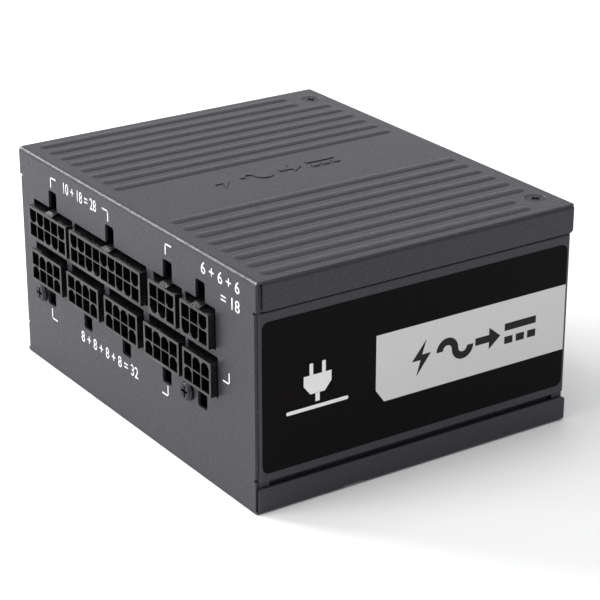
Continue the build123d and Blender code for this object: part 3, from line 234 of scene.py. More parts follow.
@dataclass(frozen=True)
class Moulded:
    """Moulded plastic with a fine spark-eroded grain."""

    name: str
    colour: Colour
    roughness: float = 0.42
    grain: float = 0.35
    depth: float = 0.02

    def make(self) -> Material:
        """Builds the material: faint flow marks, grain and uneven gloss."""
        recipe = Recipe(self.name)
        recipe.set(Specular_IOR_Level=0.5)
        recipe.tint(
            recipe.noise(6.0, 3.0, (1.0, 1.0, 0.4)),
            ((0.35, shaded(self.colour, 0.8)), (0.7, shaded(self.colour, 1.25))),
        )
        recipe.polish(recipe.noise(2.0, 3.0), self.roughness - 0.07, self.roughness + 0.08)
        recipe.relief((recipe.noise(self.grain, 2.0), 0.35, self.depth))
        return recipe.material


@dataclass(frozen=True)
class Metal:
    """Bare, plated or blackened metal with drawn or turned marks along one axis."""

    name: str
    colour: Colour
    roughness: float = 0.32
    stretch: tuple[float, float, float] = (1.0, 1.0, 0.12)
    marks: float = 0.35

    def make(self) -> Material:
        """Builds the material: fine marks in relief, uneven tone and gloss."""
        recipe = Recipe(self.name)
        recipe.set(Metallic=1.0)
        recipe.tint(
            recipe.noise(1.6, 4.0),
            ((0.3, shaded(self.colour, 0.78)), (0.7, shaded(self.colour, 1.12))),
        )
        marks = recipe.noise(self.marks, 3.0, self.stretch)
        recipe.polish(marks, self.roughness - 0.08, self.roughness + 0.12)
        recipe.relief((recipe.noise(self.marks, 2.0, self.stretch), 0.3, 0.012))
        return recipe.material


@dataclass(frozen=True)
class Laminated:
    """Glass-epoxy board with solder mask, or a stack of steel sheets, with a layered edge."""

    name: str
    colour: Colour
    metallic: float = 0.0
    layer: float = 0.35
    roughness: float = 0.35

    def make(self) -> Material:
        """Builds the material: a woven or mottled face and thin layers in relief."""
        recipe = Recipe(self.name)
        recipe.set(Metallic=self.metallic)
        recipe.tint(
            recipe.noise(1.1, 5.0),
            ((0.35, shaded(self.colour, 0.7)), (0.52, self.colour), (0.66, shaded(self.colour, 1.7))),
        )
        recipe.polish(recipe.noise(3.0, 2.0), self.roughness - 0.08, self.roughness + 0.12)
        recipe.relief((recipe.bands(self.layer, "Z"), 0.25, 0.03), (recipe.noise(0.5, 2.0), 0.2, 0.02))
        return recipe.material


@dataclass(frozen=True)
class Sintered:
    """Ferrite or ceramic: a dense matt body with fine pores."""

    name: str
    colour: Colour
    roughness: float = 0.55
    pore: float = 0.3

    def make(self) -> Material:
        """Builds the material: pores, a clouded tone and a dull gloss."""
        recipe = Recipe(self.name)
        recipe.tint(
            recipe.noise(2.6, 5.0),
            ((0.3, shaded(self.colour, 0.75)), (0.7, shaded(self.colour, 1.2))),
        )
        recipe.polish(recipe.noise(1.0, 3.0), self.roughness - 0.1, self.roughness + 0.1)
        recipe.relief((recipe.cells(self.pore), 0.4, 0.02), (recipe.noise(1.5, 2.0), 0.2, 0.03))
        return recipe.material


@dataclass(frozen=True)
class Printed:
    """Printed film or ink: a satin layer with slight mottle."""

    name: str
    colour: Colour
    roughness: float = 0.45
    mottle: float = 0.12
    specular: float = 0.35
    metallic: float = 0.0

    def make(self) -> Material:
        """Builds the material: faint mottle in tone, gloss and relief."""
        recipe = Recipe(self.name)
        recipe.set(Specular_IOR_Level=self.specular, Metallic=self.metallic)
        recipe.tint(
            recipe.noise(0.8, 4.0),
            (
                (0.35, shaded(self.colour, 1.0 - self.mottle)),
                (0.65, shaded(self.colour, 1.0 + self.mottle)),
            ),
        )
        recipe.polish(recipe.noise(1.7, 3.0), self.roughness - 0.05, self.roughness + 0.06)
        recipe.relief((recipe.noise(0.5, 3.0), 0.15, 0.01))
        return recipe.material


class Cabinet:
    """The finishes of this power supply, made once each and handed out by slot or by name."""

    FINISHES = {
        "case_paint": PowderCoat(),
        "label_film": Printed("Black label film", (0.0030, 0.0020, 0.0021), 0.42, 0.06, 0.05),
        "socket_plastic": Moulded("Black socket nylon", (0.0030, 0.0030, 0.0034), 0.28, 0.6, 0.006),
        "contact_brass": Metal("Tinned contact brass", (0.68, 0.62, 0.48), 0.25),
        "circuit_board": Laminated("Board with dark solder mask", (0.012, 0.030, 0.020)),
        "dark_screw": Metal("Blackened screw steel", (0.040, 0.040, 0.045), 0.42, (1.0, 1.0, 1.0), 0.5),
        "bright_steel": Metal("Zinc plated steel", (0.62, 0.62, 0.64), 0.26, (1.0, 1.0, 1.0), 0.5),
        "standoff_brass": Metal("Turned standoff brass", (0.70, 0.52, 0.24), 0.28, (0.1, 0.1, 1.0)),
        "fan_plastic": Moulded("Black fan plastic", (0.014, 0.014, 0.015), 0.40),
        "guard_wire": Moulded("Black coated wire", (0.018, 0.018, 0.020), 0.34, 0.6, 0.03),
        "sticker": Printed("Grey sticker paper", (0.050, 0.050, 0.055), 0.50),
        "magnet": Sintered("Bonded magnet", (0.030, 0.030, 0.032), 0.6),
        "lamination": Laminated("Stacked steel sheets", (0.30, 0.30, 0.31), 1.0, 0.35, 0.4),
        "copper": Metal("Enamelled copper", (0.78, 0.30, 0.13), 0.24, (1.0, 1.0, 1.0), 0.4),
        "ferrite": Sintered("Dark ferrite", (0.030, 0.032, 0.035)),
        "heatsink_alloy": Metal("Extruded alloy", (0.56, 0.57, 0.59), 0.34, (1.0, 1.0, 0.05), 0.3),
        "can_sleeve": Moulded("Dark can sleeve", (0.020, 0.023, 0.035), 0.28, 1.2, 0.015),
        "film_yellow": Moulded("Yellow tape", (0.62, 0.36, 0.03), 0.36, 0.9, 0.03),
        "disc_blue": Sintered("Blue dipped ceramic", (0.02, 0.10, 0.36), 0.3, 0.8),
        "package_black": Moulded("Black moulding compound", (0.018, 0.018, 0.020), 0.5, 0.25),
        "fuse_ceramic": Sintered("Pale fuse ceramic", (0.72, 0.70, 0.64), 0.4, 0.4),
        "inlet_plastic": Moulded("Black inlet thermoplastic", (0.012, 0.012, 0.013), 0.42),
        "rocker_plastic": Moulded("Polished rocker plastic", (0.013, 0.013, 0.014), 0.22, 1.0, 0.01),
        "insulating_film": Printed("Black insulating film", (0.020, 0.020, 0.022), 0.32, 0.2),
        "lead_jacket": Moulded("Lead jacket", (0.022, 0.022, 0.022), 0.46, 0.5),
    }
    PRINTS = {
        "white_ink": Printed("White ink", (0.82, 0.82, 0.82), 0.5, 0.02),
        "silver_ink": Printed("Silver film print", (0.66, 0.65, 0.645), 0.45, 0.02, 0.3),
        "dark_ink": Printed("Dark ink", (0.010, 0.010, 0.011), 0.45, 0.10, 0.15),
        "solder": Metal("Dull solder", (0.55, 0.55, 0.56), 0.34, (1.0, 1.0, 1.0), 0.4),
        "masked_track": Printed("Track under solder mask", (0.022, 0.062, 0.038), 0.34, 0.12, 0.5),
        "bare_alloy": Metal("Bare can alloy", (0.66, 0.67, 0.69), 0.24, (1.0, 1.0, 1.0), 0.8),
    }

    def __init__(self) -> None:
        """Starts with nothing made."""
        self.made: dict[str, Material] = {}

    def get(self, name: str) -> Material:
        """The material of a slot or a print, built when first asked for.

        Args:
            name: a slot of the record, or one of PRINTS.

        Returns:
            The material.
        """
        if name not in self.made:
            self.made[name] = {**self.FINISHES, **self.PRINTS}[name].make()
        return self.made[name]

    def dress(self, nodes: dict[str, Object], slots: dict[str, str]) -> None:
        """Gives each carried-over node the finish of its slot.

        Args:
            nodes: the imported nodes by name.
            slots: the slot of each node.
        """
        for name, node in nodes.items():
            node.data.materials.clear()
            node.data.materials.append(self.get(slots[name]))


# ------------------------------------------------------------------------------- making pieces
class Face(Enum):
    """A side of the case that marks lie on: where its own x, its own y and its outside point."""

    CONNECTOR = ((1, 0, 0), (0, 0, 1), (0, -1, 0))
    LABEL = ((0, 1, 0), (0, 0, 1), (1, 0, 0))
    RATING = ((0, -1, 0), (0, 0, 1), (-1, 0, 0))
    TOP = ((0, 1, 0), (-1, 0, 0), (0, 0, 1))
    REAR = ((-1, 0, 0), (0, 0, 1), (0, 1, 0))
    UNDER = ((1, 0, 0), (0, -1, 0), (0, 0, -1))

    def matrix(self, level: float) -> Matrix:
        """Matrix from the face's own millimetres to the row frame's metres.

        Args:
            level: how far the face lies from the origin along its outside direction.

        Returns:
            The matrix.
        """
        across, up, out = (Vector(v) for v in self.value)
        turned = Matrix((across, up, out)).transposed().to_4x4()
        return Matrix.Translation(out * level * MM) @ turned @ Matrix.Scale(MM, 4)


def finished(name: str, shape: BMesh, finish: Material, body: str) -> Object:
    """Turns a bmesh into a piece at the origin that rides on a body.

    Args:
        name: name of the piece.
        shape: the bmesh in the row frame, which is freed.
        finish: its material.
        body: the body that it rides on.

    Returns:
        The piece.
    """
    mesh = bpy.data.meshes.new(name)
    shape.to_mesh(mesh)
    shape.free()
    mesh.materials.append(finish)
    piece = bpy.data.objects.new(name, mesh)
    bpy.context.scene.collection.objects.link(piece)
    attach(piece, body)
    return piece


def fixed(name: str, shape: BMesh, finish: Material) -> None:
    """Turns a shape drawn in millimetres into a piece that stays with the case.

    Args:
        name: name of the piece.
        shape: the shape, which is freed.
        finish: its material.
    """
    bmesh.ops.scale(shape, vec=(MM, MM, MM), verts=shape.verts[:])
    finished(name, shape, finish, "root")
    LOG.info("%s", name)


class Stencil:
    """Flat shapes gathered in a face's own millimetres, then given a thin body and laid on it."""

    def __init__(self) -> None:
        """Starts an empty stencil."""
        self.shape = bmesh.new()

    def bar(
        self, x: float, y: float, width: float, height: float, turn: float = 0.0, corner: float = 0.0
    ) -> None:
        """Adds a bar.

        Args:
            x: its middle across.
            y: its middle up.
            width: its size across.
            height: its size up.
            turn: how far it is turned, in degrees.
            corner: radius of its corners.
        """
        place = (
            Matrix.Translation((x, y, 0))
            @ Matrix.Rotation(math.radians(turn), 4, "Z")
            @ Matrix.Diagonal((width, height, 1, 1))
        )
        made = bmesh.ops.create_grid(self.shape, x_segments=1, y_segments=1, size=0.5, matrix=place)
        if corner:
            bmesh.ops.bevel(
                self.shape,
                geom=made["verts"],
                offset=corner,
                affect="VERTICES",
                segments=4,
                profile=0.5,
                material=-1,
            )

    def arc(self, x: float, y: float, radius: float, stroke: float, start: float, sweep: float) -> None:
        """Adds a ring or a part of one.

        Args:
            x: its middle across.
            y: its middle up.
            radius: radius of the stroke's middle line.
            stroke: its width.
            start: where it starts, in degrees from the face's x.
            sweep: how far it goes round, in degrees.
        """
        towards = Vector((math.cos(math.radians(start)), math.sin(math.radians(start)), 0))
        centre = Vector((x, y, 0))
        ends = [self.shape.verts.new(centre + towards * (radius + side * stroke / 2)) for side in (-1, 1)]
        edge = self.shape.edges.new(ends)
        bmesh.ops.spin(
            self.shape,
            geom=[*ends, edge],
            cent=centre,
            axis=(0, 0, 1),
            angle=math.radians(sweep),
            steps=max(6, int(abs(sweep) / 9)),
            use_merge=abs(sweep) >= 360,
        )

    def outline(self, points: Sequence[Point]) -> None:
        """Adds a filled outline with a few corners."""
        self.shape.faces.new([self.shape.verts.new((x, y, 0)) for x, y in points])

    def numerals(
        self, words: str, x: float, y: float, width: float, height: float, weight: float = 0.0
    ) -> None:
        """Adds plain numerals that fill a box.

        Args:
            words: the numerals.
            x: the box's middle across.
            y: the box's middle up.
            width: the box's size across.
            height: the box's size up.
            weight: how much bolder than plain their strokes are.
        """
        curve = bpy.data.curves.new("numerals", "FONT")
        curve.body = words
        curve.offset = weight
        curve.resolution_u = 4
        helper = bpy.data.objects.new("numerals", curve)
        bpy.context.scene.collection.objects.link(helper)
        bpy.context.view_layer.update()
        mesh = bpy.data.meshes.new_from_object(helper)
        corners = [Vector(v.co) for v in mesh.vertices]
        low = Vector((min(c.x for c in corners), min(c.y for c in corners), 0))
        high = Vector((max(c.x for c in corners), max(c.y for c in corners), 0))
        size = high - low
        mesh.transform(
            Matrix.Translation((x, y, 0))
            @ Matrix.Diagonal((width / size.x, height / size.y, 0, 1))
            @ Matrix.Translation(-(low + high) / 2)
        )
        self.shape.from_mesh(mesh)
        bpy.data.objects.remove(helper)
        bpy.data.curves.remove(curve)
        bpy.data.meshes.remove(mesh)

    def lay(
        self,
        name: str,
        matrix: Matrix,
        finish: Material,
        body: str = "root",
        lift: float = 0.004,
        thickness: float = 0.02,
    ) -> Object:
        """Gives the shapes a body and lays them on a face.

        Args:
            name: name of the piece.
            matrix: from the face's own millimetres to the row frame.
            finish: its material.
            body: the body that it rides on.
            lift: how far the back stays off the face.
            thickness: thickness of the layer.

        Returns:
            The piece.
        """
        bmesh.ops.remove_doubles(self.shape, verts=self.shape.verts[:], dist=1e-4)
        raised = bmesh.ops.extrude_face_region(self.shape, geom=self.shape.faces[:], use_keep_orig=True)
        moved = [item for item in raised["geom"] if isinstance(item, BMVert)]
        bmesh.ops.translate(self.shape, verts=moved, vec=(0, 0, thickness))
        bmesh.ops.translate(self.shape, verts=self.shape.verts[:], vec=(0, 0, lift))
        bmesh.ops.recalc_face_normals(self.shape, faces=self.shape.faces[:])
        bmesh.ops.transform(self.shape, matrix=matrix, verts=self.shape.verts[:])
        return finished(name, self.shape, finish, body)


class SupplySigns(Stencil):
    """Stencil that also knows the plain signs of a power supply, drawn at one stroke and size."""

    def __init__(self, stroke: float = 2.1, scale: float = 1.0) -> None:
        """Starts an empty stencil.

        Args:
            stroke: width of the signs' lines in millimetres.
            scale: size of the signs, 1 for the large label's.
        """
        super().__init__()
        self.stroke = stroke
        self.scale = scale

    def bolt(self, x: float, y: float, height: float) -> None:
        """Adds a lightning bolt of a given height."""
        half = height / 2
        self.outline(
            (
                (x + 0.32 * half, y + half),
                (x - 0.62 * half, y - 0.12 * half),
                (x - 0.06 * half, y - 0.12 * half),
                (x - 0.32 * half, y - half),
                (x + 0.62 * half, y + 0.18 * half),
                (x + 0.04 * half, y + 0.18 * half),
            )
        )

    def wave(self, x: float, y: float) -> None:
        """Adds the sign of alternating current."""
        radius = 2.5 * self.scale
        self.arc(x - radius, y, radius, self.stroke, 0.0, 180.0)
        self.arc(x + radius, y, radius, self.stroke, 180.0, 180.0)

    def arrow(self, x: float, y: float) -> None:
        """Adds an arrow that points right."""
        size = self.scale
        back, tip, half = x + 0.4 * size, x + 4.2 * size, 3.1 * size
        self.bar(x - 1.9 * size, y, 4.6 * size, self.stroke)
        self.outline(((back, y - half), (tip, y), (back, y + half)))

    def steady(self, x: float, y: float) -> None:
        """Adds the sign of direct current."""
        size = self.scale
        self.bar(x, y + 1.9 * size, 10.6 * size, self.stroke)
        for step in (-1, 0, 1):
            self.bar(x + step * 3.9 * size, y - 1.9 * size, 2.8 * size, self.stroke)

    def row(self, start: float, y: float, pitch: float, height: float) -> None:
        """Adds the four signs in a row: a bolt, alternating current, an arrow and direct current.

        Args:
            start: middle of the bolt across.
            y: middle of the row.
            pitch: distance between the signs.
            height: height of the bolt.
        """
        self.bolt(start, y, height)
        self.wave(start + pitch, y)
        self.arrow(start + 2 * pitch, y)
        self.steady(start + 3 * pitch, y)


def eased_copy(node: str, edge: float, cabinet: Cabinet, slot: str, body: str = "root") -> Object:
    """A copy of a node with its sharp edges rounded as a mould leaves them, which stands for the node.

    Args:
        node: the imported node.
        edge: width of the rounding in millimetres.
        cabinet: where its finish comes from.
        slot: the record's slot, which also names the finish.
        body: the body that it rides on.

    Returns:
        The piece.
    """
    shape = bmesh.new()
    shape.from_mesh(frame["nodes"][node].data)
    bmesh.ops.remove_doubles(shape, verts=shape.verts[:], dist=1e-6)
    bmesh.ops.dissolve_limit(
        shape, angle_limit=math.radians(0.5), verts=shape.verts[:], edges=shape.edges[:], delimit={"NORMAL"}
    )
    sharp = [e for e in shape.edges if len(e.link_faces) == 2 and e.calc_face_angle(0.0) > math.radians(28)]
    bmesh.ops.bevel(
        shape,
        geom=sharp,
        offset=edge * MM,
        offset_type="OFFSET",
        affect="EDGES",
        segments=2,
        profile=0.5,
        clamp_overlap=True,
        material=-1,
    )
    piece = finished(f"{node}_moulding", shape, cabinet.get(slot), body)
    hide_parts(node)
    LOG.info("moulding of %s", node)
    return piece


# ------------------------------------------------------------------------------- the object
@dataclass
class ConnectorFace:
    """The face with the cable sockets: their moulded bodies and the white print round them."""

    cabinet: Cabinet
    front: float = 50.0
    left: float = -62.5
    top: float = 63.3
    stroke: float = 0.42
    leg: float = 3.2
    numeral_height: float = 3.3
    weight: float = 0.006
    rim: float = 0.13
    sockets: tuple[str, ...] = (
        "socket_10_pin",
        "socket_18_pin",
        "socket_6_pin_left",
        "socket_6_pin_right",
        "socket_6_pin_lower",
        "socket_8_pin_1",
        "socket_8_pin_2",
        "socket_8_pin_3",
        "socket_8_pin_4",
    )

    def build(self) -> None:
        """Builds the sockets and the print."""
        for name in self.sockets:
            eased_copy(name, self.rim, self.cabinet, "socket_plastic")
        self.print_marks()

    def corner_mark(self, stencil: Stencil, x: float, y: float, along: int, down: int) -> None:
        """Adds one right-angled mark that bounds a group of sockets.

        Args:
            stencil: where it goes.
            x: its corner, from the face's left edge.
            y: its corner, down from the face's top edge.
            along: 1 if its flat leg goes right, -1 if left.
            down: 1 if its upright leg goes down, -1 if up.
        """
        u, w = self.left + x, self.top - y
        stencil.bar(u + along * (self.leg - self.stroke) / 2, w, self.leg, self.stroke)
        stencil.bar(u, w - down * (self.leg - self.stroke) / 2, self.stroke, self.leg)

    def print_marks(self) -> None:
        """Lays the marks and the pin counts of each group of sockets on the face."""
        stencil = Stencil()
        for x, y, along, down in (
            (19.2, 4.1, 1, 1),
            (51.8, 4.1, -1, 1),
            (82.0, 3.7, 1, 1),
            (112.25, 31.7, -1, -1),
            (16.6, 47.5, 1, -1),
            (81.6, 46.9, -1, -1),
        ):
            self.corner_mark(stencil, x, y, along, down)
        for words, left, right, middle in (
            ("10 + 18 = 28", 26.8, 45.4, 4.9),
            ("6 + 6 + 6", 99.6, 117.6, 4.2),
            ("= 18", 108.9, 117.6, 9.3),
            ("8 + 8 + 8 + 8 = 32", 34.0, 65.8, 46.6),
        ):
            u, w = self.left + (left + right) / 2, self.top - middle
            stencil.numerals(words, u, w, right - left, self.numeral_height, self.weight)
        matrix = Face.CONNECTOR.matrix(self.front)
        stencil.lay("connector_face_print", matrix, self.cabinet.get("white_ink"))
        LOG.info("connector face print")


@dataclass
class SideLabel:
    """Print of the large label: a pale block with plain supply symbols, and a white plug sign."""

    cabinet: Cabinet
    face: float = 62.25
    block_left: float = -13.8
    block_right: float = 48.55
    block_top: float = 40.5
    block_bottom: float = 21.55
    cut_across: float = 2.7
    cut_up: float = 3.65
    stroke: float = 2.1
    symbols: tuple[float, float, float, float] = (0.6, 30.9, 10.9, 9.8)  # start, height, pitch, bolt
    symbol_lift: float = 0.026
    sign_x: float = -31.8
    sign_y: float = 31.4

    def build(self) -> None:
        """Lays the block, its symbols and the plug sign."""
        matrix = Face.LABEL.matrix(self.face)
        block = Stencil()
        block.outline(
            (
                (self.block_left + self.cut_across, self.block_bottom),
                (self.block_right, self.block_bottom),
                (self.block_right, self.block_top),
                (self.block_left, self.block_top),
                (self.block_left, self.block_bottom + self.cut_up),
            )
        )
        block.lay("label_pale_block", matrix, self.cabinet.get("silver_ink"))
        LOG.info("label pale block")
        symbols = SupplySigns(self.stroke)
        symbols.row(*self.symbols)
        symbols.lay("label_symbols", matrix, self.cabinet.get("dark_ink"), lift=self.symbol_lift)
        LOG.info("label symbols")
        self.plug_sign(matrix)

    def plug_sign(self, matrix: Matrix) -> None:
        """Lays a white plug sign with a plain rule under it."""
        sign = Stencil()
        x, y = self.sign_x, self.sign_y
        for side in (-1, 1):
            sign.bar(x + side * 1.9, y + 4.9, 1.1, 3.2, 0.0, 0.3)
        sign.outline(
            (
                (x - 4.2, y + 3.3),
                (x - 4.2, y + 0.6),
                (x - 2.2, y - 1.9),
                (x + 2.2, y - 1.9),
                (x + 4.2, y + 0.6),
                (x + 4.2, y + 3.3),
            )
        )
        sign.bar(x, y - 3.0, 1.3, 2.4)
        sign.bar(x, y - 5.6, 18.8, 1.0, 0.0, 0.4)
        sign.lay("label_plug_sign", matrix, self.cabinet.get("white_ink"))
        LOG.info("label plug sign")


@dataclass
class RatingLabel:
    """Print of the label on the other side: a plain ruled table with numerals."""

    cabinet: Cabinet
    face: float = 62.25
    left: float = -44.0
    right: float = 20.0
    top: float = 46.5
    row: float = 5.4
    rows: int = 5
    columns: tuple[float, ...] = (-44.0, -28.0, -16.0, -4.0, 8.0, 20.0)
    rule: float = 0.28
    note_widths: tuple[float, ...] = (26.0, 18.0, 22.0)
    sign_x: float = 36.0
    sign_y: float = 37.5
    sign_rules: int = 3

    def build(self) -> None:
        """Lays the table, its numerals and a bolt sign."""
        stencil = SupplySigns()
        bottom = self.top - self.row * self.rows
        middle, width = (self.left + self.right) / 2, self.right - self.left
        for index in range(self.rows + 1):
            stencil.bar(middle, self.top - index * self.row, width, self.rule)
        for x in self.columns:
            stencil.bar(x, (self.top + bottom) / 2, self.rule, self.top - bottom)
        for row in range(self.rows):
            for column in range(len(self.columns) - 1):
                x = (self.columns[column] + self.columns[column + 1]) / 2
                y = self.top - (row + 0.5) * self.row
                if column == 0 or row == 0:
                    stencil.bar(x, y, 7.0 if column else 10.0, 0.9, 0.0, 0.3)
                else:
                    stencil.numerals(str((row * 7 + column * 5) % 8 + 2), x, y, 1.5, 2.3)
        for index, width in enumerate(self.note_widths):
            stencil.bar(self.left + width / 2, bottom - 2.4 - index * 1.9, width, 0.6, 0.0, 0.25)
        self.bolt_sign(stencil)
        stencil.lay("rating_label_print", Face.RATING.matrix(self.face), self.cabinet.get("white_ink"))
        LOG.info("rating label print")

    def bolt_sign(self, stencil: SupplySigns) -> None:
        """Adds a bolt in a ring with narrowing rules under it."""
        stencil.arc(self.sign_x, self.sign_y, 6.2, 0.9, 0.0, 360.0)
        stencil.bolt(self.sign_x, self.sign_y, 8.4)
        for index in range(self.sign_rules):
            y = self.sign_y - 11.5 - index * 2.2
            stencil.bar(self.sign_x, y, 13.0 - 2.0 * index, 0.7, 0.0, 0.3)


@dataclass
class TopMark:
    """Plain raised signs in the middle of the top, under the same paint."""

    cabinet: Cabinet
    level: float = 63.1
    height: float = 0.26
    start: float = -18.4
    up: float = 3.2
    pitch: float = 10.9
    stroke: float = 1.5
    scale: float = 0.86
    bolt_height: float = 8.6

    def build(self) -> None:
        """Raises the row of supply signs."""
        stencil = SupplySigns(self.stroke, self.scale)
        stencil.row(self.start, self.up, self.pitch, self.bolt_height)
        piece = stencil.lay(
            "top_raised_sign",
            Face.TOP.matrix(self.level),
            self.cabinet.get("case_paint"),
            lift=-0.05,
            thickness=self.height,
        )
        LOG.info("top raised sign")


@dataclass
class FanFace:
    """Print of the hub sticker, which turns with the rotor."""

    cabinet: Cabinet
    level: float = -4.2
    ring: float = 13.0
    ring_stroke: float = 0.5
    turn: float = 8.6
    turn_stroke: float = 1.0
    arrow: tuple[Point, ...] = ((6.9, -4.0), (9.9, -1.9), (9.6, -6.0))
    bolt_height: float = 7.2

    def build(self) -> None:
        """Lays a ring, a turn arrow and a bolt on the sticker."""
        stencil = SupplySigns()
        stencil.arc(0, 0, self.ring, self.ring_stroke, 0, 360)
        stencil.arc(0, 0, self.turn, self.turn_stroke, 25, 285)
        stencil.outline(self.arrow)
        stencil.bolt(0, 0.5, self.bolt_height)
        matrix = Face.UNDER.matrix(self.level)
        stencil.lay("hub_sticker_print", matrix, self.cabinet.get("white_ink"), "fan")
        LOG.info("hub sticker print")


@dataclass
class RearFittings:
    """Mouldings of the rear wall and the marks of the rocker."""

    cabinet: Cabinet
    switch_x: float = 9.0
    switch_z: float = 34.0
    axle_y: float = 47.8
    rest_tilt: float = 9.0
    rim: float = 0.2
    # the rocker's slopes: how far out the middle is, where they start and how far one falls by 1 mm
    middle_depth: float = 1.9
    slope_start: float = 1.2
    slope_run: float = 6.4
    mark_level: float = 4.6
    mark_stroke: float = 0.42
    ring_radius: float = 1.25
    bar_size: tuple[float, float] = (0.45, 2.9)

    def build(self) -> None:
        """Builds the inlet, the switch body, the rocker and its marks."""
        for node, slot, body in (
            ("mains_inlet", "inlet_plastic", "root"),
            ("switch_housing", "inlet_plastic", "root"),
            ("rocker", "rocker_plastic", "rocker"),
        ):
            eased_copy(node, self.rim, self.cabinet, slot, body)
        self.rocker_marks()

    def rocker_marks(self) -> None:
        """Lays the on and off marks on the rocker's two slopes."""
        depth = self.middle_depth + (self.mark_level - self.slope_start) / self.slope_run
        for name, side in (("rocker_on_mark", 1), ("rocker_off_mark", -1)):
            stencil = Stencil()
            if side < 0:
                stencil.arc(0, 0, self.ring_radius, self.mark_stroke, 0, 360)
            else:
                stencil.bar(0, 0, *self.bar_size)
            lean = -math.atan2(1.0, self.slope_run) * side
            # the rocker's own profile, turned to its rest tilt about the axle
            matrix = (
                Matrix.Translation((self.switch_x * MM, self.axle_y * MM, self.switch_z * MM))
                @ Matrix.Rotation(math.radians(self.rest_tilt), 4, "X")
                @ Matrix.Translation((0, depth * MM, side * self.mark_level * MM))
                @ Matrix.Rotation(lean, 4, "X")
                @ Face.REAR.matrix(0.0)
            )
            stencil.lay(name, matrix, self.cabinet.get("white_ink"), "rocker", lift=0.012)
            LOG.info("%s", name)


def spread(low: float, high: float, count: int) -> list[float]:
    """Even places from one end to the other.

    Args:
        low: the first place.
        high: the last place.
        count: how many there are; a single one is in the middle.

    Returns:
        The places.
    """
    if count == 1:
        return [(low + high) / 2]
    return [low + (high - low) * index / (count - 1) for index in range(count)]


def extent(node: str) -> tuple[Vector, Vector]:
    """Lowest and highest corners of a node in millimetres."""
    low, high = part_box(node)
    return Vector(low) / MM, Vector(high) / MM


